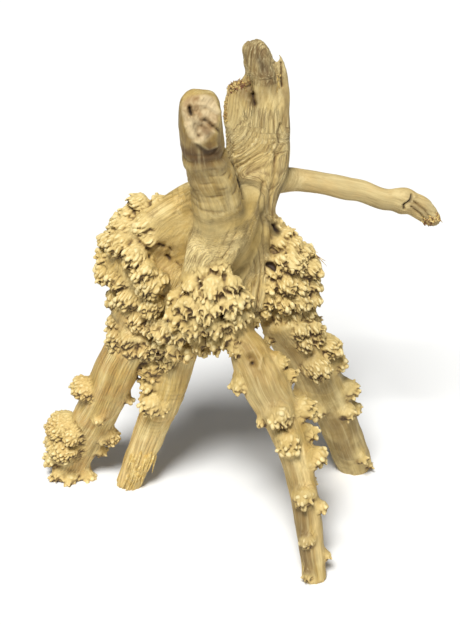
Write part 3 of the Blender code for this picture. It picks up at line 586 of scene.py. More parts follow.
# fibres of three sizes and thin grooves, all drawn out along the limb
def fibreLift(drawn, place, deep):
    size, depth, sharp = grainLook["groove"]
    up = deep * sum(height * noise(drawn / width, seed) for width, height, seed in grainLook["fibres"])
    shown = smoothStep(-0.2, 0.4, noise(place / grainLook["groovePatch"], 5))
    return up - deep * depth * grooves(drawn / size, 4, sharp) * shown


# lines side by side, exp(-(sin(pi turn) / sharp)^2) deep, between two runs along the limb
def combLift(q, place, wave, height, low=-50, high=500):
    edge = grainLook["combEdge"]
    turn = (q[:, 0] + grainLook["combSlant"] * q[:, 1]) / wave + 0.4 * noise(q / (5, 5, 40), 33)
    shown = smoothStep(low - edge, low + edge, q[:, 2]) * (1 - smoothStep(high - edge, high + edge, q[:, 2]))
    shown = shown * (0.35 + 0.65 * smoothStep(-0.5, 0.3, noise(place / grainLook["combPatch"], 34)))
    return -height * shown * (np.exp(-(np.sin(math.pi * turn) / grainLook["combSharp"])**2) - 0.3)


# wrinkles across the limb: noise along a bent run, and creases exp(-(sin(0.8 pi run / wave) / sharp)^2) deep
def wrinkleLift(q, low, high, wave, height):
    before, after = grainLook["wrinkleEdges"]
    bent = (q[:, 2] + 0.10 * q[:, 0] + 2.5 * noise(q / (13, 13, 22), 21)) / wave
    wrinkle = 0.6 * noise(np.stack([0 * bent, 0 * bent, bent], 1), 23)
    crease = np.exp(-(np.sin(math.pi * bent * 0.8) / grainLook["creaseSharp"])**2)
    crease = crease * smoothStep(-0.4, 0.4, noise(q / (8, 8, 6), 22))
    there = smoothStep(low - before, low + before, q[:, 2])
    there = there * (1 - smoothStep(high - after, high + after, q[:, 2]))
    return height * (wrinkle - grainLook["creaseDepth"] * crease) * there, crease * there * min(1, height)


# A limb's grain space is (side offset, front offset, squeezed run), so noise read there is drawn out along
# the limb. Each limb raises its own fibres, grooves, combed lines and wrinkles, and the limbs are blended by
# exp(-(gap - least gap) / blend), with their fibre depth and tint.
def woodGrain(points):
    local, gaps = {}, []
    size, reach = grainLook["wander"]
    wander = np.stack([noise(points / size, 31), noise(points / size, 32)], 1) * reach
    for name, limb in limbs.items():
        x, y, s, gap = limbCoordinates(points, limb)
        if "rules" in limb:
            gap = gap + 10 - (10 + limb["rules"]) * smoothStep(*grainLook["takeOver"], s)
        gaps.append(gap)
        x, y = x + wander[:, 0], y + wander[:, 1]
        if name == "splitTrunk":      # low on its left half the grain swings round its edge: hypot(x, drop)
            low, high = grainLook["swing"]
            drop = 5 * (np.logaddexp(0, (high - s) / 5) - np.logaddexp(0, (low - s) / 5))
            x = np.hypot(np.maximum(x + 24, 0.1), drop * (1 - smoothStep(-8, 34, x))) - 24
        local[name] = np.stack([x, y, s], 1)
    gaps = np.stack(gaps, 1)
    weights = np.exp(-(gaps - gaps.min(1, keepdims=True)) / grainLook["blend"])
    weights /= weights.sum(1, keepdims=True)
    grain = np.zeros((len(points), 3))
    lift, fibre, wrinkled = np.zeros((3, len(points)))
    for number, (name, limb) in enumerate(limbs.items()):
        some = np.flatnonzero(weights[:, number] > 0.03)
        weight, place = weights[some, number], points[some]
        q = local[limb.get("follows", name)][some]
        drawn = q * (1, 1, grainLook["squeeze"]) + list(limbs).index(limb.get("follows", name)) * 37.0
        up = fibreLift(drawn, place, limb["fibre"])
        if "comb" in limb:
            up = up + combLift(q, place, *limb["comb"])
        if "bands" in limb:
            raised, creased = wrinkleLift(q, *limb["bands"])
            up = up + raised
            wrinkled[some] += weight * creased
        begun = smoothStep(*grainLook["fadeIn"], q[:, 2]) if "rules" in limb else 1
        lift[some] += weight * up * begun
        fibre[some] += weight * limb["fibre"] * begun
        grain[some] += weight[:, None] * drawn
    tint = weights @ np.array([limb["tint"] for limb in limbs.values()])
    return grain, (0.35 + 0.65 * fibre) * smoothStep(0.5, 0.9, weights.max(1)), tint, lift, wrinkled


burlEdge = {
    "along": (-0.8, -0.2),    # where a burl fades in, before the place where its buds begin
    "out": (1.0, 1.6),        # where it fades out, in radii of the lump
}


# how much of a burl each point is, which lump it is on, and how far it is from a tie with another lump
def burlField(points, lumps, kinds, growth):
    mask, index = np.zeros(len(points)), np.zeros(len(points), int)
    nearest, second = np.full(len(points), 1e3), np.full(len(points), 1e6)
    for n, (lump, kind, grows) in enumerate(zip(lumps, kinds, growth)):
        near = np.flatnonzero(((points - lump[:3])**2).sum(1) < (lump[3] * 1.8)**2)
        rel = points[near] - lump[:3]
        far = np.linalg.norm(rel, axis=1)
        low, high = np.array(burlEdge["along"]) + budKinds[kind]["begin"]
        part = smoothStep(low, high, rel @ grows / far) * (1 - smoothStep(*burlEdge["out"], far / lump[3]))
        mask[near] = np.maximum(mask[near], part)
        gap = far - lump[3]
        closer = gap < nearest[near]
        second[near] = np.where(closer, nearest[near], np.minimum(second[near], gap))
        nearest[near] = np.minimum(nearest[near], gap)
        index[near[closer]] = n
    return mask, index, second - nearest


# rounded cells, sqrt(1 - (d / 0.85)^2) high, parted over the width where the two nearest spots tie
def roundedCells(q, seed, width):
    near, second, past = cells(q, seed)
    return np.sqrt(np.clip(1 - (near / 0.85)**2, 0, 1)) * smoothStep(0.0, width, second - near), past


lobeLook = {
    "bend": 0.7,                            # how far noise bends the cells
    "ridgeSize": (0.52, 0.52, 0.9),         # finer cells on the first ones, as shares of their size
    "ridge": 0.38,                          # and the share of the height that they add
    "part": (2.2, 1.8), "partPatch": 6,     # width and depth of the valleys between lumps, and their patches
}


# The burls' relief: cells drawn out along the growth, where each rises towards its lower end, with finer
# cells on them. The lumps are parted by exp(-(tie / width)^2).
def burlRelief(points, lumps, kinds, growth, index, tie):
    rel, grows = points - lumps[index, :3], growth[index]
    first = unit(np.cross(grows, (0.31, 0.87, 0.39)))
    facing = (rel * grows).sum(1)
    q = np.stack([(rel * first).sum(1), (rel * np.cross(grows, first)).sum(1), facing], 1)
    q = q + lobeLook["bend"] * np.stack([noise(points / 5, seed) for seed in (41, 42, 43)], 1)
    cell, height, stretch = (np.array([budKinds[kind][key] for kind in kinds])[index]
                             for key in ("cell", "height", "stretch"))
    shape = np.stack([cell, cell, cell * stretch], 1)
    domes, past = roundedCells(q / shape + index[:, None] * 7.7, 51, 0.28)
    domes = domes * (0.55 + 0.75 * smoothStep(-0.5, 0.35, past))
    ridges, _ = roundedCells(q / shape / lobeLook["ridgeSize"] + index[:, None] * 3.3, 52, 0.3)
    width, depth = lobeLook["part"]
    part = np.exp(-(tie / width)**2) * smoothStep(-0.4, 0.4, noise(points / lobeLook["partPatch"], 53))
    tip = smoothStep(-0.7, 0.1, facing / lumps[index, 3])
    raised = (0.25 + 0.75 * tip) * (domes - 0.45) + lobeLook["ridge"] * (ridges - 0.4)
    return height * raised * (1 - 0.3 * part) - depth * part


# distance to a line of points, seen along the photo's view
def seenDistance(points, line):
    line = np.array(line, float)
    best = np.full(len(points), 1e9)
    for a, b in zip(line, line[1:] if len(line) > 1 else line):
        rel, span = points - a, b - a
        flat = span - (span @ looking) * looking
        rel = rel - (rel @ looking)[:, None] * looking
        t = np.clip(rel @ flat / max(flat @ flat, 1e-9), 0, 1)
        best = np.minimum(best, np.linalg.norm(rel - t[:, None] * flat, axis=1))
    return best


thick = [limbSurface(limb) for limb in limbs.values() if not limb.get("thin")]
points, faces = fusedSkin(thick + [ellipsoids(*zip(*cores))], wholeWood["woodVoxel"])
points = smoothed(points, neighbours(faces), wholeWood["woodSmoothing"])
softer = smoothed(points, neighbours(faces), wholeWood["meltSmoothing"])
for at, reach in wholeWood["melted"]:
    part = smoothStep(reach, 0.35 * reach, np.linalg.norm(points - np.array(at), axis=1))
    points = points + part[:, None] * (softer - points)
print("limbs run together:", len(points), "points")

lumps, kinds, growth = allLumps()
added = [limbSurface(limb) for limb in limbs.values() if limb.get("thin")]
added.append(ellipsoids(lumps[:, :3], np.repeat(lumps[:, 3:4], 3, 1) * wholeWood["lumpSize"]))
collars = np.array([collar for limb in limbs.values() for collar in knobLumps(limb)[3]])
added.append(ellipsoids(collars[:, :3], np.repeat(collars[:, 3:4], 3, 1)))
points, faces = fusedSkin([(points, faces, np.zeros((0, 3), int))] + added, wholeWood["bodyVoxel"])
points = smoothed(points, neighbours(faces), wholeWood["bodySmoothing"])
print("lumps added:", len(points), "points")

buds = budSurfaces(lumps, kinds, growth)
skinVoxel = wholeWood["skinVoxel"]
points, faces = fusedSkin([(points, faces, np.zeros((0, 3), int)), buds], skinVoxel)
steps = neighbours(faces)
points = smoothed(points, steps, wholeWood["skinSmoothing"])
print("skin with buds:", len(points), "points")

grain, fibre, tint, woodLift, wrinkled = woodGrain(points)
burl, nearLump, tie = burlField(points, lumps, kinds, growth)
wood = 1 - burl
normals = pointNormals(points, faces)

swell = {"wood": (13, 0.6), "burl": (7, 1.3)}    # size and height of the broad swellings
lift = wood * (woodLift + swell["wood"][1] * noise(points / swell["wood"][0], 6))
lift += burl * swell["burl"][1] * noise(points / swell["burl"][0], 7)
some = np.flatnonzero(burl > 0.02)
lift[some] += burl[some] * burlRelief(points[some], lumps, kinds, growth, nearLump[some], tie[some])

# the branch's flat cut face, and how broken it is: size, height and seed
cutLook = {"edge": (-2.2, -0.3), "above": 300, "before": -30, "broken": [(4.5, 1.1, 8), (1.9, 0.5, 9)]}
at, facing = np.array(limbs["frontBranch"]["cut"], float)
facing = unit(facing)
cutFace = smoothStep(*cutLook["edge"], (points - at) @ facing)
cutFace = cutFace * (points[:, 2] > cutLook["above"]) * (points[:, 1] < cutLook["before"])
lift += cutFace * sum(height * noise(points / size, seed) for size, height, seed in cutLook["broken"])

# Marks pressed into the wood as the photo shows them: a line, its width, depth (a minus raises) and darkness
# A mark's darkness paints shade inside its pits, slits, cracks and gaps, and gives the knot its own darker
# wood.
marks = {
    "slotInCut": ([(-24.3, -57, 340.5), (-23.6, -59, 337)], 1.2, 3.5, 0.85),
    "slotBelow": ([(-22.5, -57, 335), (-21, -59, 327), (-19, -59, 322)], 1.5, 1.6, 0.3),
    "splitInCut": ([(-15, -60, 334), (-10.5, -61, 330.5), (-6.5, -60, 328)], 1.5, 2.2, 0.45),
    "hollowInCut": ([(-16, -61, 331), (-13, -63, 326)], 3.0, 2.0, 0.4),
    "ledgeInCut": ([(-23, -57, 344), (-14, -57, 343), (-7, -57, 339)], 2.0, -1.3, 0.0),
    "lipOfCut": ([(-20.6, -66, 323.5), (-16.5, -67, 321), (-12.7, -67, 319.2), (-8.5, -66, 321.5)],
                 1.6, -1.7, 0.0),
    "underLip": ([(-19.5, -66, 320.8), (-14.5, -67, 317), (-8, -66, 318.5)], 1.5, 1.2, 0.7),
    "slitInTrunk": ([(14, 8, 324), (15.2, 8, 320), (16.2, 8, 317)], 1.5, 3.5, 0.5),
    "slitAbove": ([(11.8, 8, 331), (14, 8, 324)], 2.0, 3.0, 0.4),
    "behindBranch": ([(-0.5, -2, 280), (4, -2, 266), (8.7, -2, 253)], 1.4, 2.6, 0.7),
    "trunkGroove": ([(33.2, 8, 303), (31.8, 8, 296), (32.6, 8, 290)], 1.0, 1.6, 0.45),
    "trunkGroove2": ([(30, 8, 282), (30, 8, 268), (27, 8, 250), (25.5, 4, 236)], 1.2, 1.4, 0.1),
    "ropeGroove": ([(22, 4, 262), (20, 2, 246), (23, 0, 230), (25, -3, 212)], 1.3, 1.5, 0.15),
    "knotOnSpire": ([(19.2, 8, 348), (21.5, 8, 343)], 3.0, 1.2, 0.6),
    "fold": ([(126.6, 32, 241), (125.6, 32, 236.6), (120.6, 32, 232), (121, 32, 229.5)], 0.9, 2.4, 0.95),
    "tipGroove": ([(128, 32, 236), (135, 32, 230), (142, 32, 222)], 0.8, 1.5, 0.3),
    "tipGroove2": ([(126, 32, 231.5), (133, 32, 226), (139, 32, 219)], 0.7, 1.4, 0.25),
    "rootSwirl": ([(12, -56, 166), (17, -56, 168.5), (21.5, -56, 163), (20, -56, 154)], 2.6, -1.6, 0.0),
    "rootSwirlPit": ([(13.5, -56, 162), (16.5, -56, 161), (16.5, -56, 157)], 2.6, 2.2, 0.15),
    "rootSwirlHole": ([(14.8, -56, 158)], 1.3, 2.6, 0.9),
    "recess": ([(-42, -17, 221)], 8.0, 2.6, 0.05),
    "recessA": ([(-47, -17, 226), (-44.5, -17, 224.5)], 1.5, 2.4, 0.4),
    "recessB": ([(-40.2, -17, 223.4), (-39, -17, 221)], 0.9, 1.5, 0.0),
    "recessC": ([(-42.5, -17, 217), (-41, -17, 215.5)], 1.5, 2.6, 0.4),
    "recessD": ([(-36, -17, 213.5), (-34, -17, 212)], 0.9, 1.5, 0.0),
    "besideTrunk": ([(31, -3, 235), (32, -3, 231)], 1.9, 4.5, 0.8),
    "besideTrunkLow": ([(27.5, -12, 209), (29.5, -12, 206)], 1.8, 4.0, 0.8),
    "splinterGap": ([(32.8, 16, 343), (33.4, 16, 334), (34, 16, 326)], 0.55, 2.0, 0.25),
}

# Stains and painted shade only colour the wood: a line, its width and strength. ropeShade, frontRootTop,
# rightRootTop, frontRootLow, leftBurlLow, behind, crownHollow and frontRootNeck are painted shade on sides
# that get less light, under the burls, behind the branch and in the crown's hollow; the others darken the
# wood along their lines.
# how strongly the wrinkles' creases are painted with shade
wrinkleCreaseShade = 0.42
stainsAndShade = {
    "branchMiddle": ([(-28.5, -50, 309), (-19, -52, 304), (-9, -50, 307)], 8.5, 1.0),
    "branchMiddleLow": ([(-25, -46, 288), (-14, -46, 285)], 8.0, 0.45),
    "branchEdge": ([(-32.5, -50, 342), (-33.5, -50, 306)], 4.0, 0.7),
    "spire": ([(16.5, 11, 354), (21.5, 11, 345), (25, 11, 332)], 6.5, 0.7),
    "slabEdge": ([(36.5, 8, 326), (38.5, 8, 300)], 3.0, 0.5),
    "torn": ([(-2, 8, 329), (6.5, 8, 331), (10, 8, 326), (15, 8, 319)], 4.0, 0.7),
    "ropeShade": ([(32, 2, 232), (24, 2, 199)], 2.5, 0.15),
    "frontRootTop": ([(30, -50, 140), (42, -60, 112)], 8.0, 0.3),
    "rightRootTop": ([(50, 0, 138), (64, 0, 100), (73, 0, 78)], 9.0, 0.3),
    "rightRootSide": ([(78, 22, 60), (92, 22, 14)], 9.0, 0.45),
    "frontRootLow": ([(49, -88, 60), (53, -88, 8)], 6.5, 0.75),
    "frontRootMiddle": ([(42, -75, 84), (48, -75, 58)], 4.0, 0.4),
    "leftBurlLow": ([(-83, -6, 172), (-80, -6, 150)], 7.0, 0.35),
    "branchFoot": ([(-29, -30, 238), (-19, -30, 243), (-3, -30, 240)], 3.0, 0.15),
    "behind": ([(0, -2, 277), (5, -2, 262)], 3.0, 0.4),
    "crownHollow": ([(-46, -17, 222), (-38, -17, 215)], 6.0, 0.35),
    "frontRootNeck": ([(10, -40, 160), (20, -52, 142), (30, -58, 126)], 9.0, 0.38),
    "armTip": ([(128, 32, 233), (146, 32, 217)], 5.0, 0.4),
    "armLow": ([(100, 28, 234), (120, 28, 230)], 3.0, 0.3),
}

# how far before and behind their line marks, stains and painted shade reach, and how uneven they are
markLook = {"markReach": 16, "stainAndShadeReach": 22, "worn": 0.35, "ragged": (0.5, 0.3), "least": 0.3}

deep = np.zeros(len(points))
seen = smoothStep(0.05, -0.25, normals @ looking)
for line, width, depth, dark in marks.values():
    near = np.abs((points - np.array(line[0])) @ looking) < markLook["markReach"]
    worn = 1 + markLook["worn"] * noise(points / (2.2 * width), 10)
    reach = np.where(near, np.exp(-(seenDistance(points, line) / width / worn)**2), 0) * seen
    lift -= depth * reach
    deep = np.maximum(deep, dark * reach)
# painted shade in the wrinkles' creases
stainAndShade = wrinkleCreaseShade * wrinkled
# darkening spread from each line above, much of it painted shade
for line, width, strength in stainsAndShade.values():
    near = np.abs((points - np.array(line[0])) @ looking) < markLook["stainAndShadeReach"]
    patchy, streaky = markLook["ragged"]
    ragged = 1 + patchy * noise(points / 7, 12) + streaky * noise(grain / 3, 13)
    ragged = np.maximum(ragged, markLook["least"])
    reach = np.where(near, np.exp(-(seenDistance(points, line) / width / ragged)**2), 0) * seen
    stainAndShade = np.maximum(stainAndShade, strength * reach)
points = points + normals * lift[:, None]
points = smoothed(points, steps, 1, 0.3)
points[:, 2] = np.maximum(points[:, 2], 0)

# how far the skin stands over its own smoothed shape: rounds of smoothing, height, and weight. The shader
# paints highlight where it stands over and shade where it sinks, and the burls' undersides get painted shade
# as well.
reliefLook = {"fine": (8, 0.55, 0.48), "broad": (45, 2.2, 0.65), "limit": 1.5, "paintedUndersideShade": 0.95}
normals = pointNormals(points, faces)
relief = np.zeros(len(points))
for rounds, height, weight in (reliefLook["fine"], reliefLook["broad"]):
    over = ((points - smoothed(points, steps, rounds)) * normals).sum(1) / height
    relief += np.clip(over, -reliefLook["limit"], reliefLook["limit"]) * weight
paintedUndersideShade = smoothStep(0.35, -0.7, smoothed(normals, steps, 4)[:, 2])
relief -= burl * reliefLook["paintedUndersideShade"] * paintedUndersideShade    # painted shade on the burls' undersides
print("grain, marks and relief worked out")

# Fork faces, as in the solids: point, direction along the limb, reach, -across and +across, -over and +over
# sides, and how much wider the region is at its far end
forks = {
    "front_root": ((17, -35, 148), (0.36, -0.40, -0.84), 220, (27, 33), (22, 34), 1.7),
    "right_root": ((57, 11, 123), (0.37, 0.22, -0.90), 190, (30, 40), (40, 40), 1.0),
    "left_root": ((-78, 5, 123), (-0.36, 0.27, -0.89), 190, (40, 18.5), (36, 36), 2.0),
    "rear_root": ((-41, 8, 121), (-0.22, 0.13, -0.97), 170, (18, 34), (36, 36), 1.3),
    "front_branch": ((-8, -29, 267), (-0.16, -0.37, 0.91), 140, (34, 34), (40, 22), 1.0),
    "split_trunk": ((17, 15, 268), (0.05, 0.10, 0.99), 130, (44, 44), (17, 26), 1.0),
    "side_branch": ((44, 25, 254.5), (0.96, 0.19, -0.20), 150, (22, 22), (22, 30), 1.6),
}
# The crown is over the limit for one piece, so it is parted level at these heights
crownPieces = {"crown_low": 0, "crown_hips": 162, "crown_waist": 182, "crown_shoulders": 206,
               "crown_top": 230}


# the fork's own axes: across, over and along the limb
def forkAxes(name):
    at, toward = np.array(forks[name][0], float), unit(np.array(forks[name][1], float))
    wanted = np.array((0, 0, 1.0) if name == "side_branch" else (1.0, 0, 0))
    across = unit(wanted - toward * (toward @ wanted))
    return at, across, np.cross(toward, across), toward


# points that hang together through faces or sides get one label, the lowest of their numbers
def sharedLabels(groups, pointCount):
    label = np.arange(pointCount)
    while True:
        low = label[groups].min(1)
        new = label.copy()
        for k in range(groups.shape[1]):
            np.minimum.at(new, groups[:, k], low)
        new = new[new]
        if (new == label).all():
            return label
        label = new


# of the marked faces, those that hang together in the largest patch
def largestPatch(inside, faces, pointCount):
    some = faces[inside]
    label = sharedLabels(some, pointCount)
    values, counts = np.unique(label[some[:, 0]], return_counts=True)
    keep = np.zeros(len(faces), bool)
    keep[np.flatnonzero(inside)] = label[some[:, 0]] == values[counts.argmax()]
    return keep


pieceNames = list(crownPieces) + list(forks)
middles = points[faces].mean(1)
owner = np.zeros(len(faces), int)
for number, height in enumerate(crownPieces.values()):
    owner[middles[:, 2] > height] = number
isLimb = np.zeros(len(faces), bool)
for number, name in enumerate(forks, len(crownPieces)):
    at, across, over, toward = forkAxes(name)
    reach, acrossReach, overReach, spread = forks[name][2:]
    rel = middles - at
    a, o, t = rel @ across, rel @ over, rel @ toward
    wide = 1 + (spread - 1) * np.clip(t, 0, None) / reach
    inside = (t > 0) & (a > -acrossReach[0] * wide) & (a < acrossReach[1] * wide) & ~isLimb
    inside &= (o > -overReach[0] * wide) & (o < overReach[1] * wide)
    inside = largestPatch(inside, faces, len(points))
    owner[inside] = number
    isLimb |= inside

# where two pieces meet: their numbers, and a plane as a point and its direction from the first to the second
meetings = [(number - 1, number, np.array((0, 0, height)), np.array((0, 0, 1.0)))
            for number, height in enumerate(crownPieces.values()) if number]
for number, name in enumerate(forks, len(crownPieces)):
    at, across, over, toward = forkAxes(name)
    beside = np.unique(owner[np.isin(faces, np.unique(faces[owner == number])).any(1)])
    meetings += [(int(other), number, at, toward) for other in beside if other != number]


def pointsOf(number):
    marked = np.zeros(len(points), bool)
    marked[faces[owner == number].ravel()] = True
    return marked


# shared points this near their plane are moved into it, and count as in it up to the second distance
partingLook = {"near": 3, "flat": 0.02}
for first, second, at, toward in meetings:
    border = pointsOf(first) & pointsOf(second)
    off = (points - at) @ toward
    border &= np.abs(off) < partingLook["near"]
    points[border] -= off[border, None] * toward
normals = pointNormals(points, faces)
print("parted at the forks:", [(pieceNames[a], pieceNames[b]) for a, b, _, _ in meetings])


# flat triangles over closed loops: a constrained Delaunay triangulation, kept where a ray crosses the loops
# an odd number of times
def capFaces(place, rim, toward):
    across = unit(np.cross(toward, (0.3, 0.5, 0.81)))
    over = np.cross(toward, across)
    used, local = np.unique(rim.ravel(), return_inverse=True)
    local = local.reshape(-1, 2)
    flat = np.stack([place[used] @ across, place[used] @ over], 1)
    made = delaunay_2d_cdt([Vector(p) for p in flat], local.tolist(), [], 0, 1e-7)
    source = [origin[0] if origin else -1 for origin in made[3]]
    tris = np.array([[source[i] for i in f] for f in made[2] if len(f) == 3])
    tris = tris[(tris >= 0).all(1)]
    centre = flat[tris].mean(1)
    startX, startY = flat[local[:, 0]].T
    endX, endY = flat[local[:, 1]].T
    x, y = centre[:, :1], centre[:, 1:]
    crosses = (startY > y) != (endY > y)
    at = startX + (y - startY) / np.where(crosses, endY - startY, 1) * (endX - startX)
    inside = (crosses & (at > x)).sum(1) % 2 == 1
    return used[tris[inside]]


class Socket:
    # a shader value that Python operators work on
    def __init__(self, tree, socket):
        self.tree, self.socket = tree, socket

    def math(self, kind, other, flipped=False):
        values = [other, self] if flipped else [self, other]
        return self.tree.node("ShaderNodeMath", {"operation": kind}, values)

    def __add__(self, other):
        return self.math("ADD", other)

    def __radd__(self, other):
        return self.math("ADD", other)

    def __sub__(self, other):
        return self.math("SUBTRACT", other)

    def __rsub__(self, other):
        return self.math("SUBTRACT", other, flipped=True)

    def __mul__(self, other):
        return self.math("MULTIPLY", other)

    def __rmul__(self, other):
        return self.math("MULTIPLY", other)

    def band(self, low, high):
        smooth = {"interpolation_type": "SMOOTHSTEP"}
        return self.tree.node("ShaderNodeMapRange", smooth, [self, low, high, 0.0, 1.0])


class Shader:
    # one material's node tree, with short ways to add nodes
    def __init__(self, name):
        self.material = bpy.data.materials.new(name)
        self.material.use_nodes = True
        self.nodes = self.material.node_tree.nodes
        self.links = self.material.node_tree.links
        self.bsdf = self.nodes["Principled BSDF"]

    def node(self, kind, settings, values, output=0):
        made = self.nodes.new(kind)
        for key, value in settings.items():
            setattr(made, key, value)
        pairs = values.items() if isinstance(values, dict) else enumerate(values)
        for key, value in pairs:
            self.put(value, made.inputs[key])
        return Socket(self, made.outputs[output])

    def put(self, value, target):
        if isinstance(value, Socket):
            self.links.new(value.socket, target)
        elif value is not None:
            target.default_value = value

    def attribute(self, name, output="Fac"):
        return self.node("ShaderNodeAttribute", {"attribute_name": name}, [], output)

    def noise(self, vector, scale, detail=3.0, rough=0.55):
        values = {"Vector": vector, "Scale": scale, "Detail": detail, "Roughness": rough}
        return self.node("ShaderNodeTexNoise", {}, values, "Fac")

    def mix(self, factor, a, b):
        return self.node("ShaderNodeMix", {"data_type": "RGBA"}, {0: factor, 6: a, 7: b}, 2)

    def surface(self, **values):
        for key, value in values.items():
            self.put(value, self.bsdf.inputs[key])
        return self.material


def colour(r, g, b):
    return (*[(v / 255 / 12.92 if v < 10.3 else ((v / 255 + 0.055) / 1.055)**2.4) for v in (r, g, b)], 1.0)


woodLook = {
    "pale": (228, 206, 142), "tan": (202, 171, 94), "warm": (200, 152, 74), "grey": (190, 170, 120),
    "olive": (136, 110, 48), "stainAndShade": (94, 67, 29), "torn": (118, 78, 52), "line": (104, 76, 38),
    # painted shade colours for the hollows and crevices, the crevices' darkest colour with some dirt in it
    "creviceShadeAndDirt": (66, 42, 16), "hollow": (132, 102, 52),
    "bud": (198, 174, 112), "pitShade": (34, 20, 10),
    # tip is the pale streaks' and lines' colour, and also the painted highlight on raised parts
    "tip": (246, 230, 176), "cut": (208, 186, 144), "cutDark": (160, 128, 88),
    # how much of each colour shows where it shows most
    "share": {"grey": 0.75, "warm": 0.7, "olive": 0.75, "paleStreaks": 0.22, "darkStreaks": 0.14,
              "comb": 0.45, "darkLines": 0.6, "paleLines": 0.5, "hairs": 0.4, "cut": 0.85, "bud": 0.55,
              "hollow": 0.62, "creviceShadeAndDirt": 0.9, "pitShade": 0.92},
    # patterns to a metre, and patterns to a millimetre of grain space
    "patches": 26.0, "blotches": 75.0, "pores": 900.0, "combPatches": 60.0,
    "lines": 0.55, "hairs": 1.7, "streaks": 0.16, "comb": 0.30,
    "roughness": 0.62, "bump": 0.8, "bumpDepth": 0.0011,
}


def woodMaterial(name, look):
    s = Shader(name)
    paint = {key: colour(*value) for key, value in look.items() if isinstance(value, tuple)}
    share = look["share"]
    place = s.node("ShaderNodeTexCoord", {}, [], "Object")
    along = s.attribute("grain", "Vector")
    burlShare, relief = s.attribute("burl"), s.attribute("relief")
    tints = s.node("ShaderNodeSeparateXYZ", {}, [s.attribute("tint", "Vector")])
    grey, olive, warm = (Socket(s, tints.socket.node.outputs[i]) for i in range(3))
    patches = s.noise(place, look["patches"], 3.0)
    blotches = s.noise(place, look["blotches"], 3.0, 0.6)
    lines = s.noise(along, look["lines"], 4.0, 0.65)
    hairs = s.noise(along, look["hairs"], 3.0, 0.6)
    streaks = s.noise(along, look["streaks"], 3.0, 0.6)
    pores = s.noise(place, look["pores"], 2.0, 0.6)
    wood = 1 - burlShare
    fibre = s.attribute("fibre").band(0.55, 1.05) * 0.8 + 0.2
    comb = s.node("ShaderNodeTexWave", {"bands_direction": "DIAGONAL"},
                  {"Vector": along, "Scale": look["comb"], "Distortion": 5.0, "Detail": 2.0,
                   "Detail Scale": 0.25}, 1)
    comb = comb.band(0.45, 0.0) * s.noise(place, look["combPatches"], 2.0).band(0.40, 0.58) * wood * fibre
    tone = s.mix(patches.band(0.35, 0.68), paint["tan"], paint["pale"])
    tone = s.mix(grey * share["grey"], tone, paint["grey"])
    tone = s.mix(warm * blotches.band(0.40, 0.62) * share["warm"], tone, paint["warm"])
    tone = s.mix(olive * (0.35 + 0.65 * blotches.band(0.60, 0.36)) * share["olive"], tone, paint["olive"])
    tone = s.mix(streaks.band(0.46, 0.66) * wood * share["paleStreaks"], tone, paint["tip"])
    tone = s.mix(streaks.band(0.52, 0.34) * wood * share["darkStreaks"], tone, paint["line"])
    tone = s.mix(comb * share["comb"], tone, paint["line"])
    # darker patches of the wood, much of them painted shade under the burls, behind the branch, in the hollow
    # and in the wrinkles' creases
    tone = s.mix(s.attribute("stainAndShade"), tone, paint["stainAndShade"])
    tone = s.mix(lines.band(0.52, 0.34) * wood * fibre * share["darkLines"], tone, paint["line"])
    tone = s.mix(lines.band(0.52, 0.68) * wood * fibre * share["paleLines"], tone, paint["tip"])
    tone = s.mix(hairs.band(0.56, 0.36) * wood * fibre * share["hairs"], tone, paint["line"])
    cutTone = s.mix(blotches.band(0.42, 0.62), paint["cut"], paint["cutDark"])
    tone = s.mix(s.attribute("cut") * share["cut"], tone, cutTone)
    tone = s.mix(burlShare * share["bud"], tone, paint["bud"])
    # painted highlight on what stands over the smoothed skin, strongest on the burls
    tone = s.mix(relief.band(0.05, 0.85) * (0.22 + 0.38 * burlShare), tone, paint["tip"])
    # painted shade in the hollows, and in the crevices painted shade with some dirt
    tone = s.mix(relief.band(0.05, -0.60) * share["hollow"], tone, paint["hollow"])
    tone = s.mix(relief.band(-0.30, -1.00) * share["creviceShadeAndDirt"], tone, paint["creviceShadeAndDirt"])
    # painted shade inside the marks' pits, slits, cracks and gaps, and the knot's own darker wood
    tone = s.mix(s.attribute("deep") * share["pitShade"], tone, paint["pitShade"])
    height = (lines * 0.6 + hairs * 0.5) * wood * (0.35 + 0.65 * fibre) + pores * 0.12 - comb * 0.35
    bump = s.node("ShaderNodeBump", {},
                  {"Strength": look["bump"], "Distance": look["bumpDepth"], "Height": height})
    rough = look["roughness"] + 0.2 * patches
    return s.surface(**{"Base Color": tone, "Roughness": rough, "Normal": bump})


# every value that the shader reads, for the points of one piece
def addAttributes(mesh, used):
    for key, values in (("grain", grain), ("tint", tint)):
        made = mesh.attributes.new(key, "FLOAT_VECTOR", "POINT")
        made.data.foreach_set("vector", values[used].astype(np.float32).ravel())
    single = {"burl": burl, "cut": cutFace, "relief": relief, "deep": deep, "fibre": fibre, "stainAndShade": stainAndShade}
    for key, values in single.items():
        mesh.attributes.new(key, "FLOAT", "POINT").data.foreach_set("value", values[used].astype(np.float32))


# the sides of the faces that no neighbour walks back
def openSides(faceArrays, pointCount):
    sides = np.concatenate([f[:, [k, (k + 1) % f.shape[1]]] for f in faceArrays for k in range(f.shape[1])])
    code, back = sides @ np.array([pointCount, 1]), sides @ np.array([1, pointCount])
    return sides[~np.isin(code, back)]


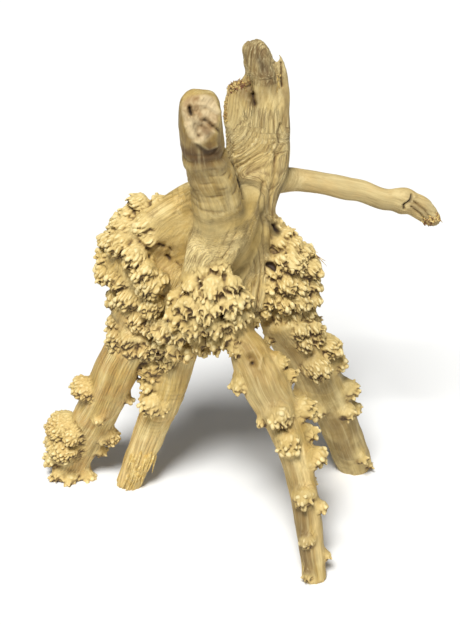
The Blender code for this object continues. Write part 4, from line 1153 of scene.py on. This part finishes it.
# one closed piece: its own faces, flat triangles over each face where it meets another piece, and a fan round
# its middle over each opening that is left
def buildPiece(name, number):
    own = faces[owner == number]
    used, local = np.unique(own.ravel(), return_inverse=True)
    quads = local.reshape(-1, 4)
    place, normal = points[used], normals[used]
    rim = openSides([quads], len(used))
    caps, capNormals, planes = [], [], {}
    for first, second, at, toward in meetings:
        if number in (first, second):
            planes[tuple(at)] = (at, toward, number == first)
    for at, toward, isFirst in planes.values():
        off = np.abs((place[rim] - at) @ toward).max(1)
        ring = rim[off < partingLook["flat"]]
        if len(ring) < 3:
            continue
        tris = capFaces(place, ring, toward)
        outward = toward if isFirst else -toward
        a, b, c = (place[tris[:, k]] for k in range(3))
        turn = np.cross(b - a, c - a) @ outward
        tris[turn < 0] = tris[turn < 0][:, ::-1]
        caps.append(tris)
        capNormals.append(np.repeat(outward[None], len(tris) * 3, 0))
    rest = openSides([quads] + caps, len(used))
    if len(rest):
        first, which = np.unique(sharedLabels(rest, len(used))[rest[:, 0]], return_inverse=True)
        centres = totals(which, place[rest[:, 0]], len(first)) / np.bincount(which)[:, None]
        fans = np.stack([rest[:, 1], rest[:, 0], len(used) + which], 1)
        place, used = np.vstack([place, centres]), np.append(used, used[first])
        a, b, c = (place[fans[:, k]] for k in range(3))
        caps.append(fans)
        capNormals.append(np.repeat(unit(np.cross(b - a, c - a)), 3, 0))
    mesh = meshFrom(name, place - shift, [quads] + ([np.vstack(caps)] if caps else []))
    mesh.normals_split_custom_set(np.vstack([normal[quads].reshape(-1, 3)] + capNormals).tolist())
    addAttributes(mesh, used)
    obj = bpy.data.objects.new(name + "_wood", mesh)
    bpy.context.scene.collection.objects.link(obj)
    mesh.materials.append(woodMaterial(name + "_wood", woodLook))
    node = name if name in forks else "root_crown"
    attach(obj, "root")
    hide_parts(node)
    triangles, sides = len(quads) * 2 + sum(map(len, caps)), openSides([quads] + caps, len(used))
    print("piece", name, triangles, "triangles;", len(sides), "sides open")
    return obj


for number, name in enumerate(pieceNames):
    buildPiece(name, number)


# Torn fibres that stand off the wood: the line they start on, the way they point, length, radius, how many,
# how far their starts scatter and rise up the wood, how they spread and bend, how brown they are, and the
# node they belong to
tears = {
    "shoulder_top_fibres": {
        "line": [(-2, 15, 325), (10, 14, 329)], "toward": (0.0, -0.35, 0.9), "length": (0.8, 2.4),
        "radius": (0.35, 0.8), "count": 150, "scatter": 1.9, "spread": 0.45, "bend": 0.3, "dark": 1.0,
        "node": "split_trunk"},
    "shoulder_edge_fibres": {
        "line": [(-3.5, 13, 327), (-4, 14, 302)], "toward": (-0.35, -0.3, 0.8), "length": (1.2, 2.8),
        "radius": (0.4, 0.8), "count": 60, "scatter": 0.9, "spread": 0.25, "bend": 0.2, "dark": 0.6,
        "node": "split_trunk"},
    "branch_tip_fibres": {
        "line": [(136, 38, 217), (144, 39, 221)], "toward": (0.72, -0.1, -0.66), "length": (2, 5),
        "radius": (0.5, 1.1), "count": 80, "scatter": 1.8, "spread": 0.2, "bend": 0.15, "dark": 1.0,
        "node": "side_branch"},
    "rear_end_fibres": {
        "line": [(-80, 11.5, 14), (-64, 11.5, 14)], "toward": (-0.29, 0.05, -0.95), "length": (8, 20),
        "radius": (0.6, 1.4), "count": 60, "scatter": 2.0, "rise": 26, "spread": 0.04, "bend": 0.03,
        "dark": 0.2, "node": "rear_root"},
    "spire_fibres": {
        "line": [(29, 15, 336), (32, 15, 322)], "toward": (0.15, -0.1, 1.0), "length": (2, 5),
        "radius": (0.4, 0.8), "count": 8, "scatter": 1.0, "spread": 0.1, "bend": 0.1, "dark": 0.5,
        "node": "split_trunk"},
    "right_burl_hair": {
        "line": [(57, 0, 212), (58, 0, 211)], "toward": (0.72, 0.0, -0.6), "length": (13, 17),
        "radius": (0.3, 0.45), "count": 2, "scatter": 0.3, "spread": 0.05, "bend": 0.12, "dark": 0.9,
        "node": "root_crown"},
}


strandLook = {"near": 8, "sunk": 0.5, "above": 0.1}    # millimetres: searched round, sunk in, over the floor


# A torn fibre starts on the skin. Its centre line is root + reach (toward u + bend u^2), and its radius is
# r min(1, 0.3 + 3u) (1 - 0.8 u^1.5).
def strandSurfaces(look, rows=6, sides=6):
    count = look["count"]
    t = rng.uniform(0, 1, (count, 1))
    first, last = np.array(look["line"], float)
    root = first * (1 - t) + last * t + rng.normal(0, look["scatter"], (count, 3))
    toward = unit(np.array(look["toward"]) + rng.normal(0, look["spread"], (count, 3)))[:, None]
    root = root - toward[:, 0] * rng.uniform(0, look.get("rise", 0), (count, 1))
    low, high = root.min(0) - strandLook["near"], root.max(0) + strandLook["near"]
    skin = points[(points > low).all(1) & (points < high).all(1)]
    nearest = [((skin - one)**2).sum(1).argmin() for one in root]
    root = skin[nearest] - toward[:, 0] * strandLook["sunk"]
    bend = rng.normal(0, look["bend"], (count, 1, 3))
    reach = rng.uniform(*look["length"], (count, 1, 1))
    u = np.linspace(0, 1, rows)[None, :, None]
    centre = root[:, None] + reach * (toward * u + bend * u**2)
    tangent = unit(toward + 2 * bend * u)
    across = unit(np.cross(tangent, (0.3, 0.9, 0.2)))
    over = np.cross(tangent, across)
    v = np.linspace(0, 2 * math.pi, sides, endpoint=False)[:, None]
    radius = rng.uniform(*look["radius"], (count, 1, 1)) * np.minimum(1, 0.3 + 3 * u) * (1 - 0.8 * u**1.5)
    around = across[:, :, None] * np.cos(v) + over[:, :, None] * np.sin(v)
    rings = centre[:, :, None] + around * radius[:, :, None]
    rings[..., 2] = np.maximum(rings[..., 2], strandLook["above"])
    poles = np.stack([centre[:, 0] - tangent[:, 0] * 0.2, centre[:, -1] + tangent[:, -1] * 0.2], 1)
    poles[..., 2] = np.maximum(poles[..., 2], strandLook["above"] / 2)
    return closedGrids(rings, poles)


def fibreMaterial(name, look, dark):
    s = Shader(name)
    place = s.node("ShaderNodeTexCoord", {}, [], "Object")
    blotches = s.noise(place, 240.0, 3.0, 0.6)
    tone = s.mix(blotches.band(0.35, 0.65) * 0.8, colour(*look["tan"]), colour(*look["pale"]))
    tone = s.mix(s.noise(place, 500.0, 2.0).band(0.62, 0.38) * dark, tone, colour(*look["torn"]))
    return s.surface(**{"Base Color": tone, "Roughness": 0.85})


for name, look in tears.items():
    strands, quads, tris = strandSurfaces(look)
    mesh = meshFrom(name, strands - shift, [quads, tris])
    mesh.materials.append(fibreMaterial(name, woodLook, look["dark"]))
    obj = bpy.data.objects.new(name, mesh)
    bpy.context.scene.collection.objects.link(obj)
    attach(obj, "root")
    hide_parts(look["node"])
print("torn fibres added")

# floor, light and camera: the size is in metres, and the sky's glow is how bright the light from all round is
stageLook = {"floor": (236, 236, 234), "size": 4.0, "sky": (1.0, 1.0, 1.0, 1), "glow": 0.15}
floorMesh = bpy.data.meshes.new("floor")
half = stageLook["size"] / 2
corners = [(-half, -half, 0), (half, -half, 0), (half, half, 0), (-half, half, 0)]
floorMesh.from_pydata(corners, [], [(0, 1, 2, 3)])
floor = bpy.data.objects.new("floor", floorMesh)
bpy.context.scene.collection.objects.link(floor)
floorLook = {"Base Color": colour(*stageLook["floor"]), "Roughness": 0.9}
floorMesh.materials.append(Shader("floor").surface(**floorLook))

world = bpy.data.worlds.new("studio")
bpy.context.scene.world = world
world.use_nodes = True
world.node_tree.nodes["Background"].inputs[0].default_value = stageLook["sky"]
world.node_tree.nodes["Background"].inputs[1].default_value = stageLook["glow"]

# where each light shines from, its strength, and its softness in degrees
lights = {
    "key": {"at": (-0.16, -0.66, 1.22), "strength": 4.1, "softness": 18.0},
    "fill": {"at": (0.9, -0.9, 0.6), "strength": 0.25, "softness": 50.0},
}
for lightName, look in lights.items():
    light = bpy.data.lights.new(lightName, "SUN")
    light.energy, light.angle = look["strength"], math.radians(look["softness"])
    lamp = bpy.data.objects.new(lightName, light)
    lamp.location = look["at"]
    lamp.rotation_euler = (Vector((0, 0, 0.17)) - lamp.location).to_track_quat("-Z", "Y").to_euler()
    bpy.context.scene.collection.objects.link(lamp)

cameraLook = {"elevation": 30.0, "distance": 1.0, "target": (0.0, 0.0, 0.165), "lens": 82.3}
camera = bpy.data.objects.new("camera", bpy.data.cameras.new("camera"))
tilt = math.radians(cameraLook["elevation"])
target = Vector(cameraLook["target"]) - Vector(wholeWood["rowShift"]) * mm
away = Vector((0, -math.cos(tilt), math.sin(tilt)))
camera.location = target + away * cameraLook["distance"]
camera.rotation_euler = (-away).to_track_quat("-Z", "Y").to_euler()
camera.data.lens, camera.data.sensor_width = cameraLook["lens"], 36
camera.data.clip_start, camera.data.clip_end = 0.05, 20
bpy.context.scene.collection.objects.link(camera)
bpy.context.scene.camera = camera
bpy.context.scene.view_settings.view_transform = "Standard"
print("floor, light and camera set")
